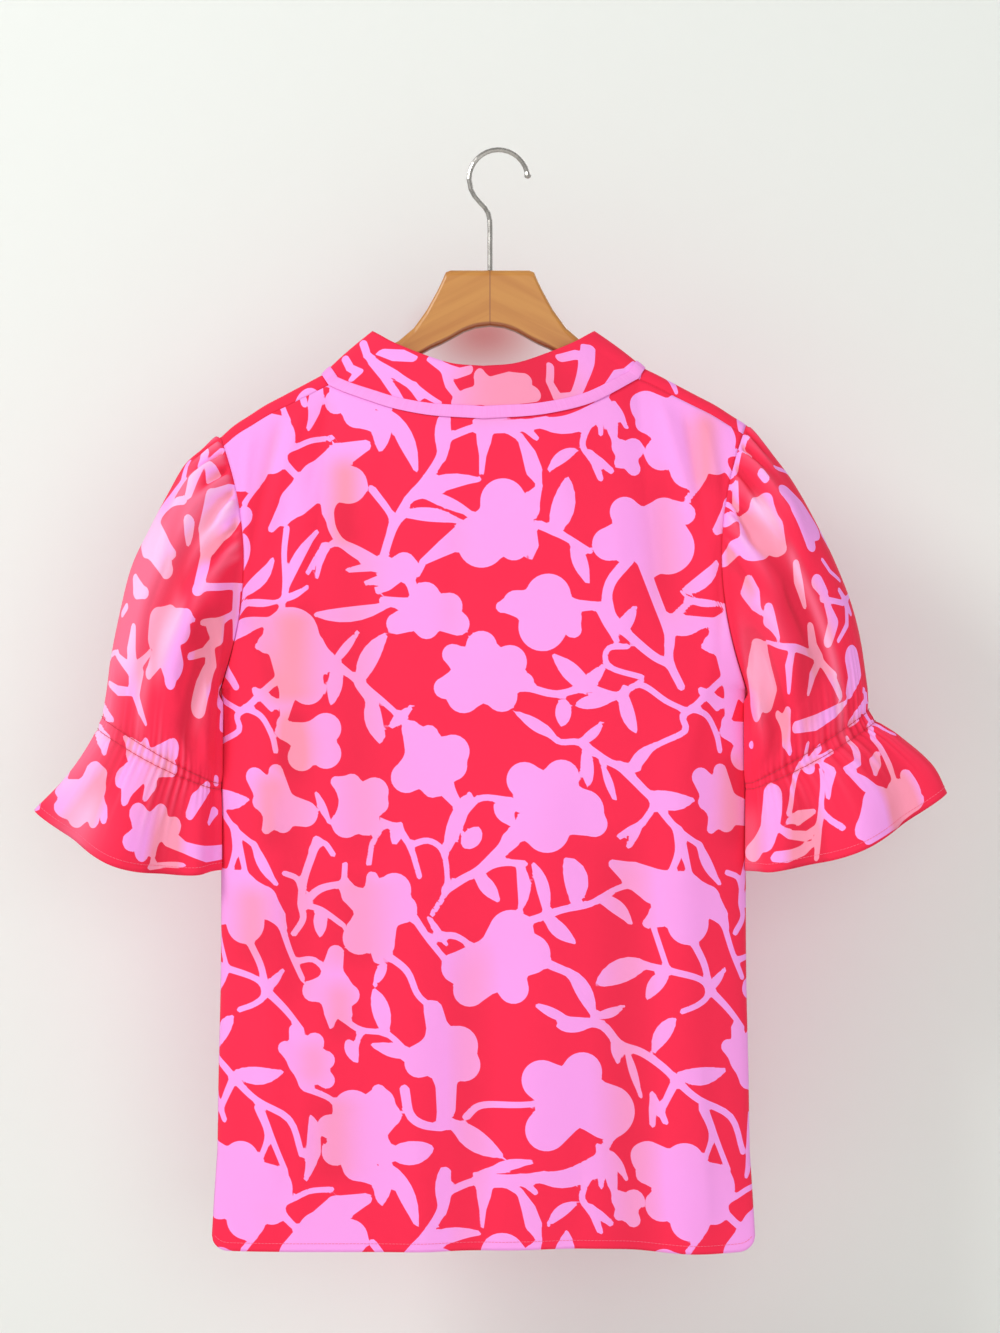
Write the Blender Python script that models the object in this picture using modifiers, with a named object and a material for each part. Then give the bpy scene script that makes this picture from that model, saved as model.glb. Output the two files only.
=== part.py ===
"""Printed pull-over blouse with a stand collar and ruffled elbow sleeves, on a wooden hanger.

The wearer's left is +X, the front faces -Y and +Z is up. The origin is the point of the
hook's inner side that lies straight above its stem. All sizes are in millimetres.
"""
import math

import bmesh
import bpy
import numpy as np

MM = 0.001

# Cloth and seams
WALL = 1.2
SEAM_GAP = 0.3
SIDE_EDGE = 0.5             # the side seam's edges, from the middle plane
BODY_SHIFT = 5.5            # the garment hangs this far towards +X of the hook's stem

SLEEVE_GAP = 0.55
SLEEVE_LAP = 1.1            # the sleeve's wall lies outside the body's at the underarm

# Body
UNDERARM_Z = -455.0
HEM_CORNER = 12.0
VENT_LENGTH = 72.0
VENT_SPREAD = 5.0
VENT_SWING = 4.0
SIDE_ROUNDNESS = 3.0

# Shoulders
FOLD_HALF_THICKNESS = 8.0   # the cloth's roll over the hanger, half its thickness
FOLD_DROP = 9.0             # how far the shoulder seam lies below the top of the roll
SEAM_ANGLE = math.radians(22.3)
FULLNESS = 0.8              # below 1, rings and rolls are fuller than an ellipse

# Neck
NECK_HALF_WIDTH = 131.0
NECK_FLARE = 6.0            # the neck edge is wider on top of the hanger
NOTCH_HALF_WIDTH = 38.0
COLLAR_GAP = 0.5
COLLAR_BULGE = 1.5
BINDING_WIDTH = 9.5
BINDING_WALL = 1.0
BINDING_GAP = 0.45

# Hanger and hook
HANGER_THICKNESS = 12.0
HANGER_UPPER_ROUND = 5.2
HANGER_LOWER_ROUND = 3.5
HANGER_TOP_Z = -99.5
WIRE_RADIUS = 2.1
HOOK_RADIUS = 25.0
HOOK_CENTRE_X = -7.2
HOOK_CENTRE_Z = -21.8

# Mesh density
HALF_COLUMNS = 16
NECK_COLUMNS = 9
NOTCH_COLUMNS = 3
LOWER_ROWS = 13
BACK_ROWS = 16
FRONT_ROWS = 14
ROLL_ROWS = 6
SLEEVE_RINGS = 19
COLLAR_ROWS = 4

RED = (251, 53, 88)
PINK = (253, 166, 237)
WOOD = (207, 146, 89)
STEEL = (150, 150, 152)


def table(names, *rows):
    """A short table as one array for each named column."""
    return dict(zip(names.split(), np.array(rows, dtype=float).T))


BODY = table(
    "z half_width back front",
    (-940.0, 226.0, 22.0, 24.0),
    (-870.0, 226.0, 23.0, 26.0),
    (-790.0, 225.0, 25.0, 28.0),
    (-700.0, 223.0, 27.0, 30.0),
    (-600.0, 222.5, 29.0, 33.0),
    (-455.0, 222.5, 31.0, 35.0),
)

# The hem's height, by place across the panel from the wearer's right side (-1) to the left (1)
HEM = table(
    "share z",
    (-1.00, -930.5),
    (-0.85, -931.7),
    (-0.68, -930.1),
    (-0.55, -927.5),
    (-0.33, -925.7),
    (-0.06, -927.0),
    (0.20, -928.3),
    (0.50, -928.8),
    (0.85, -930.0),
    (1.00, -930.0),
)

# Top of the cloth over the hanger's arm, by distance from the stem
SHOULDER = table(
    "x z",
    (120.0, -177.5),
    (144.0, -189.0),
    (160.0, -197.5),
    (176.0, -206.0),
    (192.0, -214.5),
    (205.0, -223.0),
    (218.0, -231.6),
    (229.0, -241.6),
)

BACK_NECK = table(
    "x y z",
    (0.0, 26.0, -227.5),
    (55.0, 24.5, -223.0),
    (89.0, 20.0, -214.5),
    (115.0, 14.0, -203.0),
    (131.0, 8.0, -194.5),
)

FRONT_NECK = table(
    "x y z",
    (0.0, -32.0, -365.0),
    (12.0, -30.5, -337.0),
    (25.0, -28.5, -305.0),
    (38.0, -26.5, -275.0),
    (64.0, -22.5, -256.0),
    (88.0, -18.0, -236.0),
    (110.0, -13.0, -214.0),
    (131.0, -8.0, -194.5),
)

# Top edge of the collar, from the middle of the back (0) to the notch (1)
COLLAR_TOP = table(
    "station x y z",
    (0.00, 0.0, 21.0, -183.0),
    (0.14, 27.0, 20.0, -180.5),
    (0.28, 54.0, 17.0, -171.5),
    (0.40, 76.0, 12.5, -162.0),
    (0.50, 89.0, 6.5, -154.5),
    (0.57, 94.4, 0.0, -151.5),
    (0.64, 92.0, -8.0, -156.5),
    (0.72, 85.0, -15.5, -168.0),
    (0.82, 66.0, -22.5, -189.0),
    (0.91, 40.0, -27.5, -213.0),
    (1.00, 10.0, -31.5, -240.0),
)

# Sleeve sections from the armhole (0) to the ruffle's edge (1), by distance from the stem
LEFT_SLEEVE = table(
    "t outer_x outer_z inner_x inner_z depth bow_x bow_z",
    (0.00, 228.3, -241.6, 228.0, -455.0, 20.0, -21.0, 0.0),
    (0.05, 235.0, -246.0, 231.8, -461.5, 24.0, -17.0, 0.0),
    (0.12, 245.0, -252.8, 231.2, -469.5, 28.0, -11.0, 0.0),
    (0.20, 258.0, -264.0, 230.8, -478.0, 32.0, -5.0, 0.0),
    (0.30, 272.5, -288.5, 230.6, -487.0, 35.0, 0.0, 0.0),
    (0.40, 289.0, -320.0, 230.5, -496.0, 36.0, 0.0, 0.0),
    (0.50, 304.0, -352.0, 230.5, -505.0, 36.0, 0.0, 0.0),
    (0.60, 314.5, -394.0, 230.5, -514.0, 35.0, 0.0, 0.0),
    (0.68, 321.5, -430.0, 230.5, -521.0, 33.0, 0.0, 0.0),
    (0.75, 325.5, -461.0, 230.7, -529.0, 28.0, 0.0, -1.0),
    (0.80, 330.5, -484.0, 231.6, -538.0, 24.0, 0.0, -3.0),
    (0.85, 341.5, -505.5, 231.2, -551.0, 27.0, 2.0, -7.0),
    (0.92, 360.0, -532.5, 230.8, -575.0, 32.0, 3.0, -14.0),
    (1.00, 383.5, -557.0, 230.6, -608.0, 35.0, 0.0, -22.0),
)

RIGHT_SLEEVE = table(
    "t outer_x outer_z inner_x inner_z depth bow_x bow_z",
    (0.00, 217.3, -231.2, 217.0, -455.0, 20.0, -22.0, 0.0),
    (0.05, 223.5, -237.2, 220.8, -461.5, 24.0, -18.0, 0.0),
    (0.12, 231.5, -246.5, 220.2, -469.5, 28.0, -12.0, 0.0),
    (0.20, 241.5, -258.5, 219.8, -478.0, 32.0, -5.0, 0.0),
    (0.30, 257.5, -280.5, 219.6, -487.0, 35.0, 0.0, 0.0),
    (0.40, 275.0, -311.5, 219.5, -496.0, 36.0, 0.0, 0.0),
    (0.50, 293.0, -348.5, 219.5, -505.0, 36.0, 0.0, 0.0),
    (0.60, 307.5, -386.5, 219.5, -514.0, 35.0, 0.0, 0.0),
    (0.68, 315.0, -417.5, 219.5, -521.0, 33.0, 0.0, 0.0),
    (0.75, 320.0, -451.0, 219.7, -529.0, 28.0, 0.0, -1.0),
    (0.80, 324.0, -477.5, 220.6, -538.0, 24.0, 0.0, -3.0),
    (0.85, 345.5, -494.0, 220.2, -551.0, 27.0, 2.0, -7.0),
    (0.92, 371.5, -517.0, 219.8, -575.0, 32.0, 2.0, -13.0),
    (1.00, 385.0, -542.5, 219.6, -609.0, 35.0, 0.0, -17.0),
)

# Long soft folds of the panels: middle, top and bottom, drift per mm, width and height
BACK_FOLDS = table(
    "x top bottom drift width height",
    (147.0, -235.0, -430.0, -0.06, 15.0, 4.5),
    (112.0, -300.0, -640.0, 0.05, 24.0, -3.0),
    (152.0, -450.0, -760.0, -0.04, 20.0, -4.0),
    (185.0, -520.0, -900.0, 0.02, 16.0, 3.5),
    (62.0, -560.0, -1000.0, 0.03, 30.0, 3.0),
    (10.0, -640.0, -1000.0, -0.02, 26.0, -3.0),
    (-52.0, -500.0, -1000.0, -0.03, 30.0, 3.5),
    (-118.0, -560.0, -1000.0, 0.03, 24.0, -3.5),
    (-165.0, -440.0, -980.0, 0.02, 20.0, 4.0),
    (-190.0, -235.0, -400.0, 0.08, 12.0, 4.5),
    (-150.0, -250.0, -420.0, 0.05, 16.0, -3.0),
)

FRONT_FOLDS = table(
    "x top bottom drift width height",
    (158.0, -240.0, -470.0, -0.08, 16.0, 4.5),
    (120.0, -330.0, -700.0, 0.05, 24.0, -3.5),
    (170.0, -500.0, -980.0, 0.03, 20.0, 4.0),
    (70.0, -480.0, -1000.0, -0.03, 28.0, 4.0),
    (18.0, -420.0, -1000.0, 0.02, 22.0, -4.0),
    (-40.0, -520.0, -1000.0, 0.03, 26.0, 4.0),
    (-95.0, -450.0, -1000.0, -0.03, 26.0, -3.5),
    (-150.0, -300.0, -720.0, 0.04, 20.0, 4.0),
    (-185.0, -560.0, -1000.0, 0.02, 18.0, -3.0),
)

# Lengthwise folds of a sleeve: place round the ring and width in degrees
SLEEVE_FOLDS = table(
    "angle width start end height",
    (42.0, 11.0, 0.02, 0.45, 4.7),
    (68.0, 12.0, 0.04, 0.72, -5.4),
    (95.0, 12.0, 0.03, 0.66, 6.1),
    (122.0, 13.0, 0.10, 0.78, -6.1),
    (146.0, 10.0, 0.20, 0.80, 4.1),
    (214.0, 11.0, 0.18, 0.80, 4.1),
    (240.0, 13.0, 0.08, 0.76, -6.1),
    (268.0, 12.0, 0.04, 0.68, 6.1),
    (296.0, 12.0, 0.05, 0.60, -5.4),
    (322.0, 10.0, 0.02, 0.42, 4.7),
)

RUFFLE_FOLDS = table(
    "angle width start end height",
    (20.0, 13.0, 0.78, 1.4, 4.0),
    (52.0, 13.0, 0.78, 1.4, -5.5),
    (84.0, 14.0, 0.78, 1.4, 6.0),
    (116.0, 13.0, 0.78, 1.4, -5.5),
    (146.0, 11.0, 0.78, 1.4, 4.0),
    (212.0, 11.0, 0.78, 1.4, 4.0),
    (242.0, 13.0, 0.78, 1.4, -5.5),
    (274.0, 14.0, 0.78, 1.4, 6.0),
    (308.0, 13.0, 0.78, 1.4, -5.5),
    (340.0, 13.0, 0.78, 1.4, 4.0),
)

# Sections of the hanger's half, from its middle to its tip: upper and lower edge
HANGER_SECTIONS = table(
    "upper_x upper_z lower_x lower_z",
    (0.0, -99.5, 0.0, -147.0),
    (18.0, -99.5, 12.0, -148.5),
    (33.5, -99.5, 22.0, -152.0),
    (37.6, -101.2, 29.0, -155.8),
    (40.3, -107.5, 35.0, -159.2),
    (44.5, -116.5, 41.1, -162.4),
    (53.6, -133.1, 50.0, -166.3),
    (64.6, -148.4, 60.0, -171.8),
    (77.5, -159.4, 71.0, -179.5),
    (98.0, -169.3, 89.0, -190.0),
    (120.0, -179.7, 110.5, -201.5),
    (144.0, -190.8, 134.5, -214.3),
    (160.0, -199.3, 151.0, -223.2),
    (176.0, -207.8, 167.5, -232.0),
    (192.0, -216.3, 184.0, -241.0),
    (205.0, -224.8, 197.0, -248.5),
    (212.5, -230.7, 204.5, -252.3),
    (217.0, -236.2, 210.5, -254.0),
    (219.0, -242.8, 215.5, -252.5),
)

HOOK_STEM = table(
    "x z",
    (16.2, -30.3),
    (13.0, -36.3),
    (8.2, -41.9),
    (4.3, -46.0),
    (1.6, -50.5),
    (0.2, -56.5),
    (0.0, -63.0),
)


def clear_scene():
    for item in list(bpy.data.objects):
        bpy.data.objects.remove(item, do_unlink=True)


def smooth_value(rows, key, name, at):
    """The value of a table's column at a place, along a smooth curve through its rows."""
    x, y = rows[key], rows[name]
    at = np.clip(np.asarray(at, dtype=float), x[0], x[-1])
    low = np.clip(np.searchsorted(x, at, side="right") - 1, 0, len(x) - 2)
    slope = np.gradient(y, x)
    span = x[low + 1] - x[low]
    s = (at - x[low]) / span
    return (
        (2 * s**3 - 3 * s**2 + 1) * y[low]
        + (s**3 - 2 * s**2 + s) * span * slope[low]
        + (3 * s**2 - 2 * s**3) * y[low + 1]
        + (s**3 - s**2) * span * slope[low + 1]
    )


def ease(value):
    """0 to 1 with a soft start and end."""
    value = np.clip(value, 0.0, 1.0)
    return value * value * (3.0 - 2.0 * value)


def linear_colour(rgb):
    channels = [c / 255.0 for c in rgb]
    return [c / 12.92 if c <= 0.04045 else ((c + 0.055) / 1.055) ** 2.4 for c in channels] + [1.0]


def make_material(name, rgb, roughness, metallic=0.0):
    material = bpy.data.materials.new(name)
    material.use_nodes = True
    shader = material.node_tree.nodes["Principled BSDF"]
    shader.inputs["Base Color"].default_value = linear_colour(rgb)
    shader.inputs["Roughness"].default_value = roughness
    shader.inputs["Metallic"].default_value = metallic
    return material


# Cloth surfaces, as grids of points: [row, column, xyz]

def shoulder_height(x):
    return smooth_value(SHOULDER, "x", "z", np.abs(x)) - WALL / 2


def sleeve_ring(sleeve, t, angles):
    """Points of a sleeve's ring on the +X side, before folds; t = 0 is the armhole."""
    def value(name):
        return smooth_value(sleeve, "t", name, t)
    reach = (1.0 - np.cos(angles)) / 2.0
    side = np.sin(angles)
    x = value("outer_x") + (value("inner_x") - value("outer_x")) * reach + value("bow_x") * side**2
    z = value("outer_z") + (value("inner_z") - value("outer_z")) * reach + value("bow_z") * side**2
    y = value("depth") * np.sign(side) * np.abs(side) ** FULLNESS
    return np.stack([x, y, z], axis=-1)


def ring_angles():
    """Angles round the armhole, from the shoulder seam down the back and up the front."""
    back = np.linspace(SEAM_ANGLE, math.pi, BACK_ROWS + 1)
    front = np.linspace(math.pi, 2 * math.pi - SEAM_ANGLE, FRONT_ROWS + 1)
    roll = np.linspace(2 * math.pi - SEAM_ANGLE, 2 * math.pi + SEAM_ANGLE, ROLL_ROWS + 1)
    return back, front, roll


def armhole(sign, angles):
    points = sleeve_ring(LEFT_SLEEVE if sign > 0 else RIGHT_SLEEVE, 0.0, angles)
    points[..., 0] *= sign
    return points


def column_share():
    """Place of each column across a panel at and below the underarm, from -1 to 1."""
    c = np.linspace(-1.0, 1.0, 2 * HALF_COLUMNS + 1)
    return 0.7 * np.sin(c * math.pi / 2) + 0.3 * c


def fold_height(folds, x, z):
    """How far the soft folds lift the cloth at a place on a panel."""
    total = np.zeros_like(x)
    for i in range(len(folds["x"])):
        top, bottom = folds["top"][i], folds["bottom"][i]
        middle = folds["x"][i] + folds["drift"][i] * (z - top)
        across = np.exp(-(((x - middle) / folds["width"][i]) ** 2))
        along = ease((top - z) / 60.0) * ease((z - bottom) / 60.0)
        total += folds["height"][i] * across * along
    return total


def body_rows(back):
    """Panel rows from the hem to the underarm."""
    share = column_share()[None, :]
    rise = np.linspace(0.0, 1.0, LOWER_ROWS + 1)[:, None]
    from_side = (1.0 - np.abs(share)) * BODY["half_width"][0]
    lift = HEM_CORNER - np.sqrt(np.maximum(HEM_CORNER**2 - np.maximum(HEM_CORNER - from_side, 0) ** 2, 0))
    hem = smooth_value(HEM, "share", "z", share) + lift
    z = hem + (UNDERARM_Z - hem) * rise
    half_width = smooth_value(BODY, "z", "half_width", z)
    depth = smooth_value(BODY, "z", "back" if back else "front", z)
    x = BODY_SHIFT + half_width * share
    y = depth * np.sqrt(np.maximum(1.0 - np.abs(share) ** SIDE_ROUNDNESS, 0.0)) + SIDE_EDGE
    vent = np.clip((hem + VENT_LENGTH - z) / VENT_LENGTH, 0.0, 1.0) * np.abs(share) ** 12
    y = y + vent * VENT_SPREAD
    x = x + vent * VENT_SWING * np.sign(share)
    return np.stack([x, y if back else -y, z], axis=-1)


def side_weight():
    c = np.abs(np.arange(-HALF_COLUMNS, HALF_COLUMNS + 1)) / HALF_COLUMNS
    return c[:, None] ** 3


def top_columns(back):
    """Points of a panel's top edge: neck in the middle, shoulder roll's start at the sides."""
    rows = BACK_NECK if back else FRONT_NECK
    points = []
    for column in range(-HALF_COLUMNS, HALF_COLUMNS + 1):
        place = abs(column)
        sign = 1.0 if column >= 0 else -1.0
        if place <= NECK_COLUMNS:
            if back:
                x = NECK_HALF_WIDTH * place / NECK_COLUMNS
            elif place <= NOTCH_COLUMNS:
                x = NOTCH_HALF_WIDTH * place / NOTCH_COLUMNS
            else:
                step = (place - NOTCH_COLUMNS) / (NECK_COLUMNS - NOTCH_COLUMNS)
                x = NOTCH_HALF_WIDTH + (NECK_HALF_WIDTH - NOTCH_HALF_WIDTH) * step
            linear = not back and place <= NOTCH_COLUMNS
            y = np.interp(x, rows["x"], rows["y"]) if linear else smooth_value(rows, "x", "y", x)
            z = np.interp(x, rows["x"], rows["z"]) if linear else smooth_value(rows, "x", "z", x)
            world_x = BODY_SHIFT + sign * x
            near_shoulder = ease((x - 90.0) / (NECK_HALF_WIDTH - 90.0))
            seam_z = shoulder_height(BODY_SHIFT + sign * (NECK_HALF_WIDTH + NECK_FLARE)) - FOLD_DROP
            z = z + (seam_z - rows["z"][-1]) * near_shoulder
        else:
            tip = armhole(sign, np.array([0.0]))[0, 0]
            start = BODY_SHIFT + sign * NECK_HALF_WIDTH
            step = (place - NECK_COLUMNS) / (HALF_COLUMNS - NECK_COLUMNS)
            world_x = start + (tip - start) * step
            y = FOLD_HALF_THICKNESS * (1 if back else -1)
            flare = NECK_FLARE * sign * (1.0 - step)
            z = shoulder_height(world_x + flare) - FOLD_DROP
        points.append((world_x, y, z))
    return np.array(points, dtype=float)


def blended_rows(low, top, right_edge, left_edge, steps):
    """Rows between two rows of points, with both sides on given edges."""
    weight = side_weight()
    columns = np.arange(-HALF_COLUMNS, HALF_COLUMNS + 1)
    rows = []
    for step in range(1, steps + 1):
        v = step / steps
        row = (1.0 - v) * low + v * top
        shift = np.where(columns[:, None] < 0, right_edge[step] - row[0], left_edge[step] - row[-1])
        rows.append(row + weight * shift)
    return rows


def back_grid():
    lower = body_rows(True)
    angles = ring_angles()[0][::-1]
    edges = []
    for sign in (-1, 1):
        edge = armhole(sign, angles)
        edge[0, 1] = SIDE_EDGE
        edge[-1, 2] -= SEAM_GAP / 2
        edges.append(edge)
    top = top_columns(True)
    top[:, 2] -= SEAM_GAP / 2 * (np.abs(np.arange(-HALF_COLUMNS, HALF_COLUMNS + 1)) >= NECK_COLUMNS)
    rows = blended_rows(lower[-1], top, edges[0], edges[1], BACK_ROWS)
    grid = np.concatenate([lower, np.array(rows)])
    return with_folds(grid, BACK_FOLDS, 1.0)


def front_grid():
    """The front's rows up to the start of the shoulder roll."""
    lower = body_rows(False)
    angles = ring_angles()[1]
    edges = []
    for sign in (-1, 1):
        edge = armhole(sign, angles)
        edge[0, 1] = -SIDE_EDGE
        edges.append(edge)
    rows = blended_rows(lower[-1], top_columns(False), edges[0], edges[1], FRONT_ROWS)
    grid = np.concatenate([lower, np.array(rows)])
    return with_folds(grid, FRONT_FOLDS, -1.0)


def with_folds(grid, folds, facing):
    """Lift the cloth by its soft folds, none at the seams and edges."""
    x = grid[..., 0] - BODY_SHIFT
    height = fold_height(folds, x, grid[..., 2])
    calm = np.ones(grid.shape[:2])
    side = np.abs(np.arange(-HALF_COLUMNS, HALF_COLUMNS + 1))
    calm *= ease((HALF_COLUMNS - side) / 3.0)[None, :]
    calm *= ease((len(grid) - 1 - np.arange(len(grid))) / 4.0)[:, None]
    grid[..., 1] += facing * height * calm
    return grid


def roll_grid(start_row, sign):
    """The front's shoulder, rolled over the hanger to the seam on the back."""
    columns = range(NECK_COLUMNS, HALF_COLUMNS + 1)
    angles = ring_angles()[2]
    edge = armhole(sign, angles)
    neck = np.arange(len(columns)) / (len(columns) - 1.0)
    rows = []
    for step in range(ROLL_ROWS + 1):
        turn = math.pi * step / ROLL_ROWS
        across = -math.copysign(abs(math.cos(turn)) ** FULLNESS, math.cos(turn))
        rise = math.sin(turn) ** FULLNESS
        row = []
        for i, column in enumerate(columns):
            start = start_row[HALF_COLUMNS + int(sign) * column]
            flare = NECK_FLARE * sign * (1.0 - neck[i]) * rise
            row.append((start[0] + flare, FOLD_HALF_THICKNESS * across, start[2] + FOLD_DROP * rise))
        row = np.array(row)
        weight = ((NECK_COLUMNS + neck * (HALF_COLUMNS - NECK_COLUMNS)) / HALF_COLUMNS)[:, None] ** 3
        if step == ROLL_ROWS:
            row[:, 2] += SEAM_GAP / 2
            edge[step, 2] += SEAM_GAP / 2
        blend = (weight - weight[0]) / (1.0 - weight[0])
        rows.append(row + blend * (edge[step] - row[-1]))
    rows[0] = start_row[[HALF_COLUMNS + int(sign) * c for c in columns]]
    return np.array(rows)


def neck_loop(back, front, left_roll, right_roll):
    """The neck edge from the notch on +X, round the back, to the notch on -X."""
    middle = HALF_COLUMNS
    loop = [front[-1][middle + k] for k in range(NOTCH_COLUMNS, NECK_COLUMNS)]
    loop += [row[0] for row in left_roll[:-1]]
    loop += [back[-1][middle + k] for k in range(NECK_COLUMNS, -NECK_COLUMNS - 1, -1)]
    loop += [row[0] for row in right_roll[:-1][::-1]]
    loop += [front[-1][middle - k] for k in range(NECK_COLUMNS - 1, NOTCH_COLUMNS - 1, -1)]
    return np.array(loop)


def collar_grid(loop):
    """The collar's rows from the neck seam to its top edge."""
    count = len(loop)
    station = np.abs(np.linspace(1.0, -1.0, count))
    sign = np.sign(np.linspace(1.0, -1.0, count))
    top = np.stack([smooth_value(COLLAR_TOP, "station", name, station) for name in "xyz"], axis=-1)
    top[:, 0] = BODY_SHIFT + sign * top[:, 0]
    along = top - loop
    base = loop + along / np.linalg.norm(along, axis=1)[:, None] * COLLAR_GAP
    outward = loop - np.array([BODY_SHIFT, 0.0, 0.0])
    outward[:, 2] = 0.0
    outward /= np.linalg.norm(outward, axis=1)[:, None]
    rows = []
    for step in range(COLLAR_ROWS + 1):
        h = step / COLLAR_ROWS
        rows.append(base + (top - base) * h + outward * COLLAR_BULGE * math.sin(math.pi * h))
    return np.array(rows)


def grid_normals(grid):
    """Unit normals of an open grid of points."""
    along = np.gradient(grid, axis=0)
    across = np.gradient(grid, axis=1)
    normal = np.cross(along, across)
    return normal / np.linalg.norm(normal, axis=-1)[..., None]


def binding_grid(collar):
    """The strip on the outside of the collar's lowest part."""
    height = np.linalg.norm(collar[-1] - collar[0], axis=1)
    normal = grid_normals(collar)
    centre = np.array([BODY_SHIFT, 0.0, 0.0])
    facing = np.sign(np.sum((collar[0] - centre)[:, :2] * normal[0][:, :2], axis=1))
    out = normal[0] * facing[:, None] * (WALL / 2 + BINDING_GAP + BINDING_WALL / 2)
    rows = []
    for step in (0.4, BINDING_WIDTH / 2, BINDING_WIDTH):
        rows.append(collar[0] + (collar[1] - collar[0]) * (step / height * COLLAR_ROWS)[:, None] + out)
    return np.array(rows)


def sleeve_folds(angles, t):
    """How far a sleeve's folds lift its cloth, by angle and place along the sleeve."""
    degrees = np.degrees(angles) % 360.0
    total = np.zeros((len(t), len(angles)))
    for rows, entry in ((SLEEVE_FOLDS, 0.12), (RUFFLE_FOLDS, 0.2)):
        for i in range(len(rows["angle"])):
            off = (degrees - rows["angle"][i] + 180.0) % 360.0 - 180.0
            across = np.exp(-((off / rows["width"][i]) ** 2))
            along = ease((t - rows["start"][i]) / entry) * ease((rows["end"][i] - t) / 0.14)
            total += rows["height"][i] * along[:, None] * across[None, :]
    return total


def sleeve_grid(sign):
    """A sleeve's rings, closed round, from the armhole to the ruffle's edge."""
    back, front, roll = ring_angles()
    angles = np.concatenate([back[:-1], front[:-1], roll[:-1]])
    c = np.linspace(0.0, 1.0, SLEEVE_RINGS + 1)
    t = c + 0.035 * np.sin(2 * math.pi * c)
    t[1] *= 0.8
    sleeve = LEFT_SLEEVE if sign > 0 else RIGHT_SLEEVE
    rings = np.array([sleeve_ring(sleeve, value, angles) for value in t])
    reach = ((1.0 - np.cos(angles)) / 2.0) ** 3
    fade = np.exp(-t / 0.02)[:, None]
    rings[..., 0] += fade * (SLEEVE_GAP + SLEEVE_LAP * reach)[None, :]
    rings[..., 2] += fade * 0.4 * reach[None, :]
    middle = rings.mean(axis=1, keepdims=True)
    outward = rings - middle
    outward[..., 0] *= 0.35
    outward[..., 2] *= 0.35
    outward /= np.linalg.norm(outward, axis=-1)[..., None]
    calm = ease((1.0 + np.cos(angles)) / 0.35)[None, :]
    rings += outward * (sleeve_folds(angles, t) * calm)[..., None]
    rings[..., 0] *= sign
    return rings


# Objects

def add_grid(name, grids, closed=False):
    """A mesh from one or more grids of points, welded where they share points."""
    mesh = bpy.data.meshes.new(name)
    shape = bmesh.new()
    for grid in grids:
        rows, columns = grid.shape[:2]
        verts = [[shape.verts.new(grid[r, c] * MM) for c in range(columns)] for r in range(rows)]
        last = columns if closed else columns - 1
        for r in range(rows - 1):
            for c in range(last):
                d = (c + 1) % columns
                shape.faces.new((verts[r][c], verts[r][d], verts[r + 1][d], verts[r + 1][c]))
    bmesh.ops.remove_doubles(shape, verts=shape.verts, dist=0.00001)
    bmesh.ops.recalc_face_normals(shape, faces=shape.faces)
    shape.to_mesh(mesh)
    shape.free()
    return bpy.data.objects.new(name, mesh)


def add_cloth(name, grids, material, collection, closed=False, wall=WALL):
    """A cloth piece: an open surface with an even wall on both sides of it."""
    item = add_grid(name, grids, closed)
    item.data.materials.append(material)
    for face in item.data.polygons:
        face.use_smooth = True
    solid = item.modifiers.new("wall", "SOLIDIFY")
    solid.thickness = wall * MM
    solid.offset = 0.0
    collection.objects.link(item)
    return item


def hanger_ring(sign, upper, lower):
    """One rounded section of the hanger, square to its arm."""
    half = HANGER_THICKNESS / 2
    height = np.linalg.norm(upper - lower)
    down = (lower - upper) / height
    profile = []
    for radius, corner_depth, start in ((HANGER_UPPER_ROUND, HANGER_UPPER_ROUND, 0.0),
                                        (HANGER_LOWER_ROUND, height - HANGER_LOWER_ROUND, 90.0)):
        for degrees in (0.0, 30.0, 60.0, 90.0):
            turn = math.radians(start + degrees)
            profile.append((half - radius + radius * math.sin(turn), corner_depth - radius * math.cos(turn)))
    profile += [(-y, depth) for y, depth in profile[::-1]]
    ring = []
    for y, depth in profile:
        x, z = upper + down * depth
        ring.append((sign * x, y, z))
    return ring


def add_hanger(material, collection):
    """The wooden hanger, lofted through its sections from tip to tip."""
    rows = HANGER_SECTIONS
    sections = [(np.array([rows["upper_x"][i], rows["upper_z"][i]]),
                 np.array([rows["lower_x"][i], rows["lower_z"][i]])) for i in range(len(rows["upper_x"]))]
    rings = [hanger_ring(-1.0, upper, lower) for upper, lower in sections[:0:-1]]
    rings += [hanger_ring(1.0, upper, lower) for upper, lower in sections]
    mesh = bpy.data.meshes.new("hanger")
    shape = bmesh.new()
    verts = [[shape.verts.new((x * MM, y * MM, z * MM)) for x, y, z in ring] for ring in rings]
    count = len(verts[0])
    for near, far in zip(verts, verts[1:]):
        for i in range(count):
            j = (i + 1) % count
            shape.faces.new((near[i], near[j], far[j], far[i]))
    shape.faces.new(verts[0])
    shape.faces.new(verts[-1])
    bmesh.ops.recalc_face_normals(shape, faces=shape.faces)
    shape.to_mesh(mesh)
    shape.free()
    item = bpy.data.objects.new("hanger", mesh)
    item.data.materials.append(material)
    for polygon in item.data.polygons:
        polygon.use_smooth = True
    collection.objects.link(item)
    return item


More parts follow.
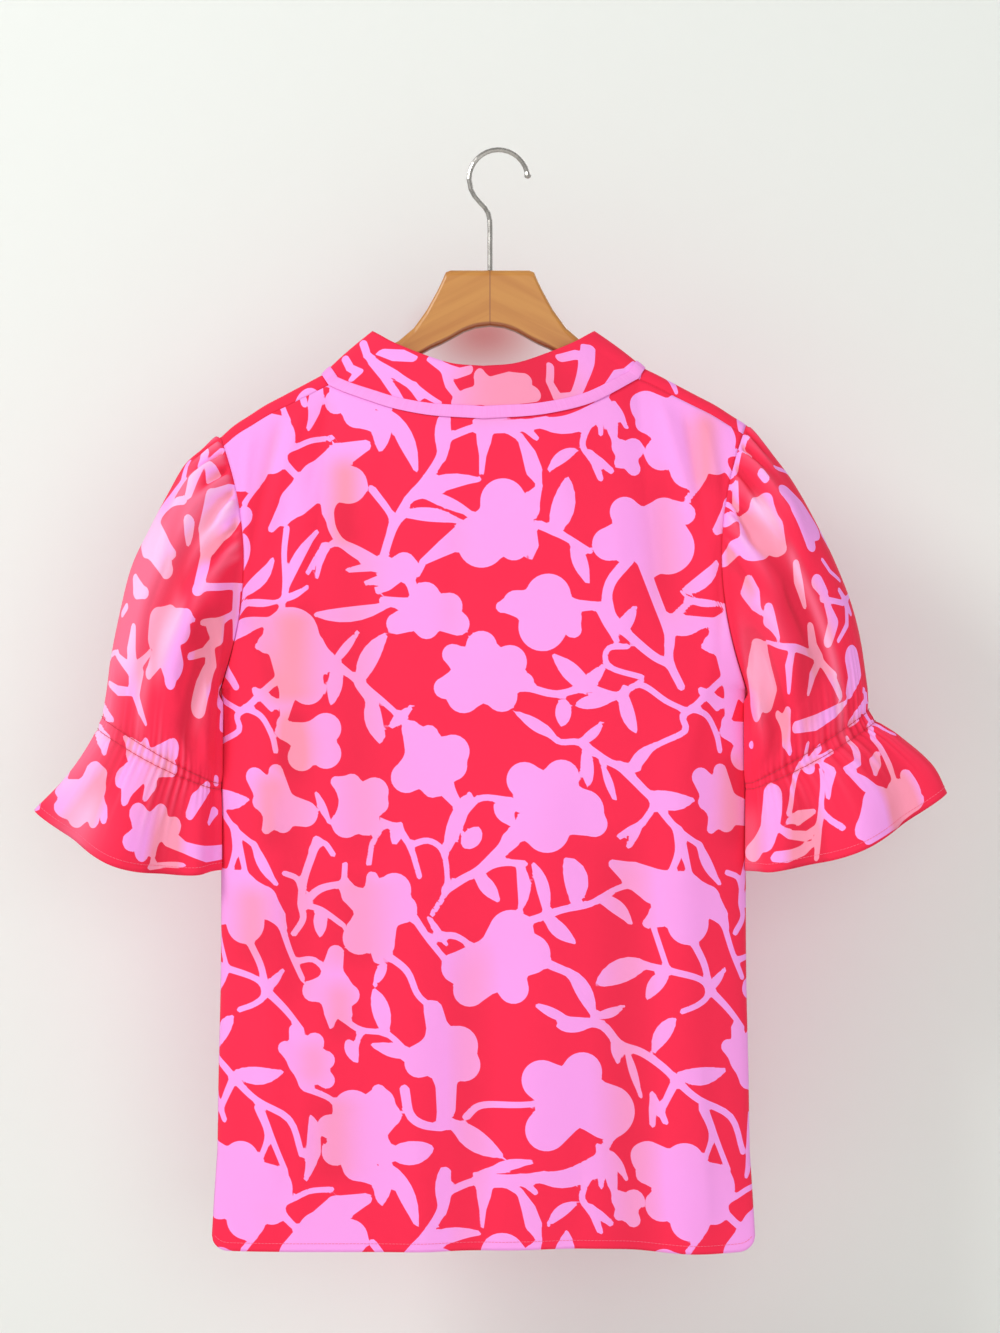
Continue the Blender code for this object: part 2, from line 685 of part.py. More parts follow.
def hook_path():
    """The wire's centre line from its ball end to the stem's foot: x, z and relative radius."""
    path = []
    for degrees, radius in ((179.0, 0.45), (177.0, 1.15), (173.0, 1.42), (169.0, 1.15), (166.0, 1.0)):
        path.append((math.radians(degrees), radius))
    path += [(math.radians(a), 1.0) for a in np.linspace(155.0, 0.0, 15)]
    points = [(HOOK_CENTRE_X + HOOK_RADIUS * math.cos(a), HOOK_CENTRE_Z + HOOK_RADIUS * math.sin(a), r)
              for a, r in path]
    points += [(x, z, 1.0) for x, z in zip(HOOK_STEM["x"], HOOK_STEM["z"])]
    points.append((0.0, HANGER_TOP_Z + SEAM_GAP, 1.0))
    return points


def add_hook(material, collection):
    points = hook_path()
    data = bpy.data.curves.new("hook", "CURVE")
    data.dimensions = "3D"
    data.bevel_depth = WIRE_RADIUS * MM
    data.bevel_resolution = 2
    data.use_fill_caps = True
    data.render_resolution_u = 0
    spline = data.splines.new("POLY")
    spline.points.add(len(points) - 1)
    for point, (x, z, radius) in zip(spline.points, points):
        point.co = (x * MM, 0.0, z * MM, 1.0)
        point.radius = radius
    spline.use_smooth = True
    item = bpy.data.objects.new("hook", data)
    data.materials.append(material)
    weld = item.modifiers.new("weld", "WELD")
    weld.merge_threshold = 0.00001
    collection.objects.link(item)
    return item


def main():
    clear_scene()
    parts = bpy.data.collections.new("blouse_on_hanger")
    bpy.context.scene.collection.children.link(parts)
    printed = make_material("printed_cloth", RED, 0.8)
    plain = make_material("plain_cloth", PINK, 0.8)
    wood = make_material("wood", WOOD, 0.5)
    steel = make_material("steel", STEEL, 0.3, 1.0)

    back = back_grid()
    front = front_grid()
    left_roll = roll_grid(front[-1], 1.0)
    right_roll = roll_grid(front[-1], -1.0)
    collar = collar_grid(neck_loop(back, front, left_roll, right_roll))

    add_cloth("back", [back], printed, parts)
    add_cloth("front", [front, left_roll, right_roll], printed, parts)
    add_cloth("sleeve_left", [sleeve_grid(1.0)], printed, parts, closed=True)
    add_cloth("sleeve_right", [sleeve_grid(-1.0)], printed, parts, closed=True)
    add_cloth("collar", [collar], printed, parts)
    add_cloth("neck_binding", [binding_grid(collar)], plain, parts, wall=BINDING_WALL)
    add_hanger(wood, parts)
    add_hook(steel, parts)


main()
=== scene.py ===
import math

import bmesh
import bpy
import numpy as np
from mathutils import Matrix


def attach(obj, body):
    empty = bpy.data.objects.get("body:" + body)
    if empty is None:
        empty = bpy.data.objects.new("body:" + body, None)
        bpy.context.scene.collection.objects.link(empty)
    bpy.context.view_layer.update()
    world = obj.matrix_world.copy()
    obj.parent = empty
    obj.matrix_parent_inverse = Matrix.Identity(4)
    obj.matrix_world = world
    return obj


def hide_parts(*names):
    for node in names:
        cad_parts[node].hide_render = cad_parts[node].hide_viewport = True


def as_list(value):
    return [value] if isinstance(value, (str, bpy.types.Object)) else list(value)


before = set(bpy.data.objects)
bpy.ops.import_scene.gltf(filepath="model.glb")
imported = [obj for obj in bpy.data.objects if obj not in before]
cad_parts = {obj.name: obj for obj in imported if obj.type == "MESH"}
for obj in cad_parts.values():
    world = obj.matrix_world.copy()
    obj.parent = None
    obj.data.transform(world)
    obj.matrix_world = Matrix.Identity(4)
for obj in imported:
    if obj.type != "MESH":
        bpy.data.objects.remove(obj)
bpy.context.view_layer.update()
print("frame loaded")

mm = 0.001
fullTurn = 2 * math.pi


def table(names, *rows):
    return dict(zip(names.split(), np.array(rows, dtype=float).T))


def smoothValue(rows, key, name, at):
    # smooth curve through the rows of a table, held level past both ends
    x, y = rows[key], rows[name]
    at = np.clip(np.asarray(at, dtype=float), x[0], x[-1])
    low = np.clip(np.searchsorted(x, at, side="right") - 1, 0, len(x) - 2)
    slope, span = np.gradient(y, x), x[low + 1] - x[low]
    s = (at - x[low]) / span
    return ((2 * s**3 - 3 * s**2 + 1) * y[low] + (s**3 - 2 * s**2 + s) * span * slope[low]
            + (3 * s**2 - 2 * s**3) * y[low + 1] + (s**3 - s**2) * span * slope[low + 1])


def ease(value):
    value = np.clip(value, 0.0, 1.0)
    return value * value * (3.0 - 2.0 * value)


def hump(offset, width, power=2):
    return np.exp(-np.abs(offset / width) ** power)


def unit(vectors):
    return vectors / np.maximum(np.linalg.norm(vectors, axis=-1), 1e-9)[..., None]


def running(steps, axis=0):
    # length of the way to each point, from 0 at the first
    return np.insert(np.cumsum(steps, axis=axis), 0, 0.0, axis=axis)


def stepLength(grid, axis, parts=(0, 1, 2)):
    step = np.diff(grid, axis=axis)
    return np.sqrt(sum(step[..., i] ** 2 for i in parts))


# Form of the garment, in millimetres

form = {
    "shift": 5.5,           # the garment hangs this far to the wearer's left of the hook
    "halfWall": 0.6,        # the shoulder's table gives the outside of the cloth
    "seamGap": 0.12,
    "sideEdge": 0.5,
    "sleeveGap": 0.2,
    "sleeveLap": 1.0,
    "underarm": -455.0,
    "hemCorner": 12.0,
    "ventLength": 72.0,
    "ventSpread": 5.0,
    "ventSwing": 4.0,
    "ventPower": 12,
    "sideRoundness": 3.0,
    "crowding": (0.7, 0.3),     # columns stand closer at the sides: share of a sine and of even steps
    "rollHalf": 8.0,        # half the thickness of the roll over the hanger
    "rollDrop": 9.0,
    "seamAngle": math.radians(22.3),
    "fullness": 0.8,
    "neckHalf": 131.0,
    "neckEase": 90.0,
    "neckFlare": 6.0,
    "notchHalf": 38.0,
    "collarGap": 0.5,
    "collarBulge": 1.5,
    "foldFade": (3.0, 4.0),     # places over which folds die away at the side and at the top
    "creaseFade": (1.2, 1.6),
}

cloth = {
    "wall": 0.7,
    "halfColumns": 80,      # divides by 16
    "lowerRows": 168,
    "upperRows": 84,
    "rollRows": 30,
    "sleeveRings": 132,
    "sleeveSteps": 300,
    "collarRows": 24,
}

# Places count a panel across from its middle to its side and up from its hem
sidePlace, neckPlace, notchPlace, underarmPlace = 16, 9, 3, 13
backPlaces, frontPlaces = 16, 14    # from the underarm up
half = cloth["halfColumns"]
neckAt, notchAt = half * neckPlace // sidePlace, half * notchPlace // sidePlace
columns = np.arange(-half, half + 1)
places = np.abs(columns) / half * sidePlace

body = table(
    "z halfWidth back front",
    (-940, 226, 22, 24), (-870, 226, 23, 26), (-790, 225, 25, 28), (-700, 223, 27, 30),
    (-600, 222.5, 29, 33), (-455, 222.5, 31, 35),
)

hem = table(
    "share z",
    (-1, -930.5), (-0.85, -931.7), (-0.68, -930.1), (-0.55, -927.5), (-0.33, -925.7), (-0.06, -927),
    (0.2, -928.3), (0.5, -928.8), (0.85, -930), (1, -930),
)

shoulder = table(
    "x z",
    (120, -177.5), (144, -189), (160, -197.5), (176, -206), (192, -214.5), (205, -223), (218, -231.6),
    (229, -241.6),
)

backNeck = table(
    "x y z",
    (0, 26, -227.5), (55, 24.5, -223), (89, 20, -214.5), (115, 14, -203), (131, 8, -194.5),
)

frontNeck = table(
    "x y z",
    (0, -32, -365), (12, -30.5, -337), (25, -28.5, -305), (38, -26.5, -275), (64, -22.5, -256),
    (88, -18, -236), (110, -13, -214), (131, -8, -194.5),
)

collarTop = table(
    "station x y z",
    (0, 0, 21, -183), (0.14, 27, 20, -180.5), (0.28, 54, 17, -171.5), (0.4, 76, 12.5, -162),
    (0.5, 89, 6.5, -154.5), (0.57, 94.4, 0, -151.5), (0.64, 92, -8, -156.5), (0.72, 85, -15.5, -168),
    (0.82, 66, -22.5, -189), (0.91, 40, -27.5, -213), (1, 10, -31.5, -240),
)

leftSleeve = table(
    "t outerX outerZ innerX innerZ depth bowX bowZ",
    (0, 228.3, -241.6, 228, -455, 20, -21, 0), (0.05, 235, -246, 231.8, -461.5, 24, -17, 0),
    (0.12, 245, -252.8, 231.2, -469.5, 28, -11, 0), (0.2, 258, -264, 230.8, -478, 32, -5, 0),
    (0.3, 272.5, -288.5, 230.6, -487, 35, 0, 0), (0.4, 289, -320, 230.5, -496, 36, 0, 0),
    (0.5, 304, -352, 230.5, -505, 36, 0, 0), (0.6, 314.5, -394, 230.5, -514, 35, 0, 0),
    (0.68, 321.5, -430, 230.5, -521, 33, 0, 0), (0.75, 325.5, -461, 230.7, -529, 28, 0, -1),
    (0.8, 330.5, -484, 231.6, -538, 24, 0, -3), (0.85, 341.5, -505.5, 231.2, -551, 27, 2, -7),
    (0.92, 360, -532.5, 230.8, -575, 32, 3, -14), (1, 383.5, -557, 230.6, -608, 35, 0, -22),
)

rightSleeve = table(
    "t outerX outerZ innerX innerZ depth bowX bowZ",
    (0, 217.3, -231.2, 217, -455, 20, -22, 0), (0.05, 223.5, -237.2, 220.8, -461.5, 24, -18, 0),
    (0.12, 231.5, -246.5, 220.2, -469.5, 28, -12, 0), (0.2, 241.5, -258.5, 219.8, -478, 32, -5, 0),
    (0.3, 257.5, -280.5, 219.6, -487, 35, 0, 0), (0.4, 275, -311.5, 219.5, -496, 36, 0, 0),
    (0.5, 293, -348.5, 219.5, -505, 36, 0, 0), (0.6, 307.5, -386.5, 219.5, -514, 35, 0, 0),
    (0.68, 315, -417.5, 219.5, -521, 33, 0, 0), (0.75, 320, -451, 219.7, -529, 28, 0, -1),
    (0.8, 324, -477.5, 220.6, -538, 24, 0, -3), (0.85, 345.5, -494, 220.2, -551, 27, 2, -7),
    (0.92, 371.5, -517, 219.8, -575, 32, 2, -13), (1, 385, -542.5, 219.6, -609, 35, 0, -17),
)

# Folds: soft upright waves of the panels, then waves round the sleeves and their ruffles

backFolds = table(
    "x top bottom drift width height",
    (147, -235, -430, -0.06, 15, 4.5), (112, -300, -640, 0.05, 24, -3), (152, -450, -760, -0.04, 20, -4),
    (185, -520, -900, 0.02, 16, 3.5), (62, -560, -1000, 0.03, 30, 3), (10, -640, -1000, -0.02, 26, -3),
    (-52, -500, -1000, -0.03, 30, 3.5), (-118, -560, -1000, 0.03, 24, -3.5),
    (-165, -440, -980, 0.02, 20, 4), (-190, -235, -400, 0.08, 12, 4.5), (-150, -250, -420, 0.05, 16, -3),
)

frontFolds = table(
    "x top bottom drift width height",
    (158, -240, -470, -0.08, 16, 4.5), (120, -330, -700, 0.05, 24, -3.5), (170, -500, -980, 0.03, 20, 4),
    (70, -480, -1000, -0.03, 28, 4), (18, -420, -1000, 0.02, 22, -4), (-40, -520, -1000, 0.03, 26, 4),
    (-95, -450, -1000, -0.03, 26, -3.5), (-150, -300, -720, 0.04, 20, 4), (-185, -560, -1000, 0.02, 18, -3),
)

sleeveFolds = table(
    "angle width start end height",
    (42, 11, 0.02, 0.45, 4.7), (68, 12, 0.04, 0.72, -5.4), (95, 12, 0.03, 0.66, 6.1),
    (122, 13, 0.1, 0.78, -6.1), (146, 10, 0.2, 0.8, 4.1), (214, 11, 0.18, 0.8, 4.1),
    (240, 13, 0.08, 0.76, -6.1), (268, 12, 0.04, 0.68, 6.1), (296, 12, 0.05, 0.6, -5.4),
    (322, 10, 0.02, 0.42, 4.7),
)

ruffleFolds = table(
    "angle width start end height",
    (20, 13, 0.78, 1.4, 4), (52, 13, 0.78, 1.4, -5.5), (84, 14, 0.78, 1.4, 6), (116, 13, 0.78, 1.4, -5.5),
    (146, 11, 0.78, 1.4, 4), (212, 11, 0.78, 1.4, 4), (242, 13, 0.78, 1.4, -5.5), (274, 14, 0.78, 1.4, 6),
    (308, 13, 0.78, 1.4, -5.5), (340, 13, 0.78, 1.4, 4),
)

# Short creases of the panels: both ends, width and height, out of the panel

creaseLook = {"past": 0.15, "fade": 0.4, "power": 1.7}
backCreases = table(
    "x1 z1 x2 z2 width height",
    (150, -205, 186, -330, 7, 2.4), (172, -222, 196, -345, 6, -2.2), (196, -232, 206, -320, 5, 1.8),
    (128, -200, 150, -300, 8, -1.8), (205, -300, 214, -430, 5, 1.6), (198, -380, 170, -470, 9, -1.8),
    (208, -440, 188, -560, 8, 1.6), (-148, -200, -178, -310, 7, 2.2), (-170, -215, -190, -330, 6, -2.4),
    (-188, -228, -200, -300, 5, 2), (-205, -330, -198, -430, 6, -1.6), (-200, -400, -172, -520, 9, 1.6),
    (92, -240, 104, -330, 9, 1.2), (-60, -250, -76, -350, 10, 1), (20, -300, 26, -420, 12, -1),
    (-110, -300, -122, -430, 11, 1.2), (60, -800, 48, -925, 12, 1.4), (-84, -820, -78, -925, 10, -1.3),
    (150, -780, 158, -925, 9, 1.4), (-182, -760, -190, -920, 8, 1.4), (-20, -850, -14, -925, 9, 1.2),
)

frontCreases = table(
    "x1 z1 x2 z2 width height",
    (152, -205, 180, -330, 7, 2.2), (176, -222, 198, -345, 6, -2.2), (-150, -205, -176, -320, 7, 2.2),
    (-174, -220, -192, -330, 6, -2), (60, -290, 92, -400, 9, 1.4), (-66, -300, -96, -410, 9, 1.4),
    (30, -380, 22, -520, 10, -1.4), (-26, -390, -34, -540, 10, 1.4), (204, -400, 176, -520, 8, 1.6),
    (-204, -410, -170, -530, 8, -1.6), (120, -800, 112, -925, 11, 1.4), (-120, -790, -130, -925, 10, 1.4),
    (10, -840, 4, -925, 9, -1.2),
)

ripples = {"height": 0.5, "width": 17.0, "length": 90.0, "sway": 1.6, "from": -600.0, "fade": 300.0}
foldEnd = 60.0

# Painted shade where the cloth turns away from the light, warming its colour: a soft upright band each

shadeBandEnd = 25.0
backShadeBands = table(
    "x top bottom width strength",
    (122, -250, -345, 15, 0.95), (166, -375, -480, 24, 0.95), (168, -460, -540, 14, 0.9),
    (186, -515, -600, 13, 0.85), (200, -610, -700, 17, 0.7), (112, -600, -700, 30, 0.6),
    (126, -690, -760, 14, 0.6), (148, -740, -800, 14, 0.5), (132, -785, -880, 20, 0.65),
    (-182, -210, -300, 11, 0.9), (-206, -295, -400, 12, 0.9), (-204, -500, -600, 13, 0.8),
    (4, -160, -240, 30, 0.5),
)

# Gathers of the sleeve caps: place on the ring, start and end along the sleeve, width and height

puckerLook = {"turn": (-0.2, 1.2), "before": 0.08, "rise": 0.2, "fall": 0.75, "narrow": 0.75, "widen": 0.6,
              "power": 1.6}
leftPuckers = table(
    "angle start turn end width height",
    (6, 0, 3, 0.13, 3, 2.4), (13, 0, 12, 0.2, 3.2, -2.6), (20, 0, 22, 0.26, 3.4, 3.2),
    (27, 0, 31, 0.18, 2.8, -3.8), (33, 0, 39, 0.33, 3.4, 4.6), (40, 0, 48, 0.22, 3, -4.1),
    (47, 0, 57, 0.38, 3.6, 4.3), (54, 0, 65, 0.2, 3, -3.5), (61, 0, 75, 0.34, 3.8, 3.5),
    (70, 0, 88, 0.24, 4, -3), (80, 0, 98, 0.4, 4.6, 2.7), (354, 0, 357, 0.16, 3, -2.4),
    (347, 0, 348, 0.22, 3.2, 2.8), (339, 0, 336, 0.18, 3, -2.6), (331, 0, 325, 0.3, 3.4, 4.1),
    (322, 0, 313, 0.2, 3.2, -3.5), (313, 0, 301, 0.34, 3.8, 3.5), (302, 0, 288, 0.24, 4, -3),
    (104, 0.14, 100, 0.52, 5, -2), (86, 0.3, 82, 0.66, 4.5, 2.2), (132, 0.3, 128, 0.7, 5, 1.8),
    (56, 0.34, 60, 0.68, 4.5, -2), (258, 0.2, 262, 0.6, 5, 2), (284, 0.34, 280, 0.7, 4.5, -2),
)

rightPuckers = table(
    "angle start turn end width height",
    (4, 0, 2, 0.16, 3, -2.4), (11, 0, 10, 0.24, 3.2, 2.8), (18, 0, 20, 0.18, 3, -2.8),
    (24, 0, 28, 0.3, 3.2, 3.4), (31, 0, 38, 0.2, 3, -4.3), (38, 0, 47, 0.36, 3.4, 4.3),
    (46, 0, 57, 0.26, 3.2, -4.1), (53, 0, 66, 0.4, 3.6, 3.8), (62, 0, 76, 0.22, 3.4, -3.2),
    (72, 0, 88, 0.36, 4, 3.2), (84, 0, 100, 0.26, 4.4, -2.7), (352, 0, 354, 0.2, 3, 2.4),
    (344, 0, 343, 0.26, 3.2, -2.8), (336, 0, 332, 0.18, 3, 2.6), (327, 0, 320, 0.32, 3.4, -4.1),
    (318, 0, 308, 0.22, 3.4, 3.5), (308, 0, 296, 0.34, 3.8, -3.2), (298, 0, 284, 0.24, 4, 3),
    (98, 0.18, 94, 0.56, 5, 2.2), (118, 0.26, 116, 0.66, 4.8, -2.2), (78, 0.34, 76, 0.7, 4.5, -2),
    (140, 0.34, 136, 0.72, 5, 1.8), (264, 0.22, 268, 0.58, 5, 2), (244, 0.34, 242, 0.7, 4.5, -2),
)

# Fine gathers are drawn at random: reach up and down the sleeve, height, width and spacing in degrees
elastic = {"t": 0.80, "rowGap": 0.011, "pinch": 1.5, "pinchWidth": 0.005}
gatherPower = {"along": 1.5, "across": 1.8}
elasticGathers = {"at": elastic["t"], "start": 0.0, "end": 357.0, "up": (0.035, 0.10), "down": (0.03, 0.085),
                  "height": (1.5, 3.2), "width": (1.7, 2.8), "spacing": (4.6, 8.0)}
capGathers = {"at": 0.03, "start": -84.0, "end": 88.0, "up": (0.03, 0.04), "down": (0.035, 0.11),
              "height": (1.2, 3.0), "width": (1.4, 2.1), "spacing": (3.8, 6.0)}

# Print: coral ground with lilac blossoms, leaves and stems, one repeat charted

printLook = {"width": 377.0, "height": 634.0, "noRepeat": 2000.0, "leastRadius": 1.9, "fillet": 2.4,
             "outside": -6.0, "softEdge": 0.22}
leafLook = {"points": 8, "bend": 0.6, "start": 0.06, "span": 0.90, "lean": 0.9, "fullness": 0.8}
tulipLook = {"shorten": 0.08, "spread": 0.55, "radii": (0.11, 0.31, 0.25)}
stemLook = {"widen": 1.15, "extra": 0.6, "taper": 0.3, "least": 4.7}

# A blossom is a heart as x, z and radius, then arms of the same three numbers
blossoms = [
    [(146, -278, 15), [(129, -259, 12), (105, -250, 5)], [(165, -297, 13), (175, -310, 7)],
     [(170, -299, 8), (185, -320, 3)], [(119, -283, 16)], [(136, -295, 8), (138, -307, 4)]],
    [(-11, -313, 19), [(-11, -297, 19)], [(7, -333, 20)], [(-20, -335, 12)],
     [(-31, -303, 11), (-41, -286, 3)], [(-32, -320, 7), (-36, -334, 5), (-34, -345, 2)],
     [(19, -324, 11), (38, -336, 7), (56, -348, 3), (61, -358, 3)]],
    [(-129, -324, 20), [(-114, -306, 13)], [(-148, -307, 14), (-166, -307, 9)], [(-151, -335, 23)],
     [(-100, -333, 14)], [(-138, -352, 8)]],
    [(-168, -236, 20), [(-134, -216, 14)], [(-132, -230, 8)], [(-165, -220, 17)], [(-189, -242, 21)],
     [(-146, -256, 14)], [(-170, -269, 17)], [(-192, -261, 12)], [(-128, -213, 8)]],
    [(-116, -259, 8), [(-110, -251, 7)], [(-122, -252, 9)], [(-110, -264, 5)], [(-122, -269, 6)]],
    [(168, -410, 23), [(189, -417, 8), (196, -419, 3)], [(155, -422, 17), (143, -431, 12), (131, -434, 4)],
     [(170, -456, 8), (173, -476, 4)], [(153, -454, 14)]],
    [(51, -390, 13), [(54, -377, 12)], [(34, -385, 11)], [(27, -400, 10)], [(53, -403, 10)],
     [(78, -400, 9)], [(75, -383, 5), (90, -380, 3)]],
    [(72, -352, 9), [(72, -350, 10)], [(100, -352, 4), (120, -355, 2)], [(92, -363, 4), (105, -366, 2)],
     [(85, -369, 3), (94, -372, 3)], [(66, -367, 4), (63, -380, 3)]],
    [(-48, -388, 18), [(-49, -377, 19)], [(-22, -383, 11), (-10, -386, 5)], [(-44, -403, 20)],
     [(-66, -395, 11), (-70, -405, 7)], [(-75, -385, 5), (-92, -385, 3)]],
    [(5, -443, 20), [(7, -419, 13)], [(-17, -432, 14)], [(-29, -449, 8)], [(-10, -461, 13)],
     [(22, -461, 14)], [(38, -454, 9)], [(31, -426, 9)]],
    [(149, -497, 14), [(138, -488, 13)], [(138, -509, 13)], [(159, -512, 12)],
     [(173, -490, 8), (175, -483, 5)]],
    [(178, -555, 14), [(199, -529, 8)], [(181, -524, 6)], [(156, -560, 11)], [(189, -573, 4)],
     [(175, -568, 8)], [(194, -550, 7)]],
    [(109, -553, 17), [(123, -536, 8), (129, -533, 5)], [(116, -533, 7)], [(97, -541, 12)], [(94, -551, 9)],
     [(121, -568, 12)], [(105, -567, 11)]],
    [(51, -516, 20), [(66, -489, 8)], [(51, -493, 8)], [(31, -507, 14)], [(32, -519, 13)], [(70, -529, 13)],
     [(48, -537, 9)], [(36, -539, 7), (28, -551, 4)]],
    [(-53, -553, 23), [(-29, -531, 15)], [(-60, -529, 15)], [(-78, -557, 18)], [(-88, -568, 11)],
     [(-48, -573, 19)], [(-29, -572, 10), (-15, -580, 5), (-8, -595, 3)], [(-22, -552, 3)]],
    [(-14, -556, 7), [(-24, -550, 3)]],
    [(93, -641, 17), [(99, -613, 5)], [(80, -623, 14)], [(73, -639, 12)], [(117, -628, 8), (121, -621, 6)],
     [(110, -664, 14)], [(90, -669, 10)], [(95, -681, 4)]],
    [(-162, -628, 19), [(-140, -621, 15), (-121, -611, 11), (-104, -602, 4)],
     [(-184, -633, 13), (-197, -646, 7), (-202, -655, 3)], [(-168, -652, 18)],
     [(-144, -645, 10), (-133, -652, 4)]],
    [(132, -706, 14), [(133, -691, 9), (130, -677, 7)], [(150, -709, 9)], [(119, -712, 9)],
     [(134, -728, 6), (134, -739, 2)], [(122, -728, 6)]],
    [(-9, -681, 21), [(-18, -659, 19)], [(-34, -677, 17)], [(-20, -706, 13)], [(17, -708, 14)],
     [(28, -689, 13)]],
    [(157, -767, 13), [(173, -757, 6)], [(165, -742, 5)], [(148, -752, 8)], [(139, -767, 8)],
     [(138, -784, 7)], [(155, -786, 7)]],
    [(39, -759, 19), [(45, -737, 9), (48, -724, 8)], [(27, -755, 17)], [(22, -771, 14)], [(60, -769, 12)],
     [(70, -760, 3)], [(37, -788, 9), (37, -808, 8), (42, -822, 4)]],
    [(-73, -798, 20), [(-44, -783, 17)], [(-78, -777, 17)], [(-100, -811, 23)], [(-48, -825, 18)]],
    [(110, -828, 20), [(116, -809, 17)], [(93, -803, 13), (94, -793, 6)], [(85, -813, 10)],
     [(136, -823, 10)], [(131, -845, 11)], [(112, -856, 13), (99, -864, 8)], [(90, -845, 10)]],
    [(-82, -862, 7), [(-88, -861, 5)]], [(-2, -869, 4), [(-8, -869, 4)]],
    [(105, -211, 8), [(105, -218, 5)]], [(4, -233, 8), [(5, -247, 6), (6, -259, 3), (7, -274, 2)]],
    [(-15, -237, 3), [(-26, -244, 3), (-33, -258, 6), (-37, -271, 7), (-42, -284, 2)]],
]

tulips = table(
    "x z tipX tipZ width fingers",
    (-128, -567, -112, -584, 10.2, 2), (-85, -256, -99, -276, 10.2, 2), (-92, -205, -99, -242, 8.5, 2),
    (140, -333, 151, -361, 7.6, 2), (-178, -456, -197, -470, 7.6, 3), (-138, -796, -144, -823, 10.2, 2),
    (-106, -414, -94, -380, 10.2, 2), (3, -240, 7, -227, 10.2, 2),
)

leaves = table(
    "x z tipX tipZ width bend",
    (85, -222, 62, -271, 14.4, -5), (40, -225, 39, -262, 13.6, 0), (173, -373, 146, -322, 9.3, -6),
    (176, -380, 154, -369, 6, 2), (146, -392, 83, -383, 12.8, 7), (73, -308, 25, -314, 11.9, -4),
    (132, -434, 111, -407, 7.6, 0), (128, -437, 133, -467, 12.8, 0), (109, -448, 87, -409, 16.1, -5),
    (100, -463, 92, -499, 13.6, 4), (84, -487, 65, -469, 8.5, 0), (146, -543, 135, -567, 6.8, 0),
    (-54, -322, -65, -278, 19.6, 4), (-70, -333, -82, -365, 12.8, 0), (-72, -254, -50, -271, 10.2, 4),
    (-110, -407, -122, -386, 11, 0), (-154, -406, -179, -402, 11.9, 0), (-163, -373, -193, -346, 11.9, 8),
    (-166, -379, -199, -381, 6.8, 4), (-151, -393, -199, -395, 10.2, 8), (-192, -398, -208, -432, 17, 0),
    (-82, -454, -54, -427, 15.3, 0), (-78, -456, -96, -435, 11, 0), (-73, -468, -105, -462, 11.9, 0),
    (-122, -490, -112, -453, 11.9, -4), (-53, -494, -23, -475, 10.2, 0), (-62, -465, -61, -485, 13.6, 0),
    (-76, -499, -94, -483, 8.5, 3), (-83, -535, -80, -502, 11, 0), (-105, -547, -94, -517, 6.8, 0),
    (-118, -524, -138, -502, 11, -3), (-136, -543, -171, -548, 16.1, 6), (-177, -585, -196, -619, 9.3, 3),
    (-65, -599, -70, -635, 20.4, -9), (-24, -601, -25, -641, 11, -7), (-37, -602, -47, -645, 11, -5),
    (-48, -646, -71, -667, 12.8, 2), (-92, -631, -119, -652, 11.9, -6), (-130, -687, -91, -703, 20.4, 4),
    (-150, -694, -134, -715, 12.8, 3), (-187, -709, -201, -692, 7.6, 0), (10, -611, -7, -632, 12.8, 0),
    (-68, -692, -88, -730, 13.6, -4), (-91, -729, -113, -722, 8.5, 3), (-40, -720, -70, -735, 8.5, 0),
    (-58, -737, -85, -737, 12.8, 0), (-106, -750, -109, -769, 9.3, 0), (-116, -759, -128, -798, 6.8, 0),
    (-156, -733, -139, -760, 13.6, 3), (-161, -779, -201, -777, 15.3, 5), (97, -709, 88, -745, 15.3, -2),
    (67, -762, 99, -754, 11.9, 0), (120, -751, 113, -768, 11, 0), (88, -684, 97, -703, 8.5, 0),
    (151, -815, 156, -868, 11.9, -7), (82, -845, 49, -840, 20.4, 3), (30, -820, -10, -847, 18.7, 4),
    (1, -861, -36, -852, 9.3, -3), (-39, -864, -90, -862, 14.4, 7), (-100, -845, -106, -883, 10.2, 0),
    (-105, -847, -116, -868, 6.8, 0), (51, -647, 37, -669, 6, 0), (17, -543, 37, -594, 13.6, 3),
    (-6, -552, -19, -567, 13.6, 0), (21, -585, 10, -572, 15.3, 2), (143, -641, 143, -662, 11.9, 0),
    (75, -568, 80, -585, 10.2, 2), (70, -296, 9, -279, 14.4, -9), (60, -290, 12, -310, 10.2, -3),
    (90, -222, 92, -254, 16.1, 0),
)

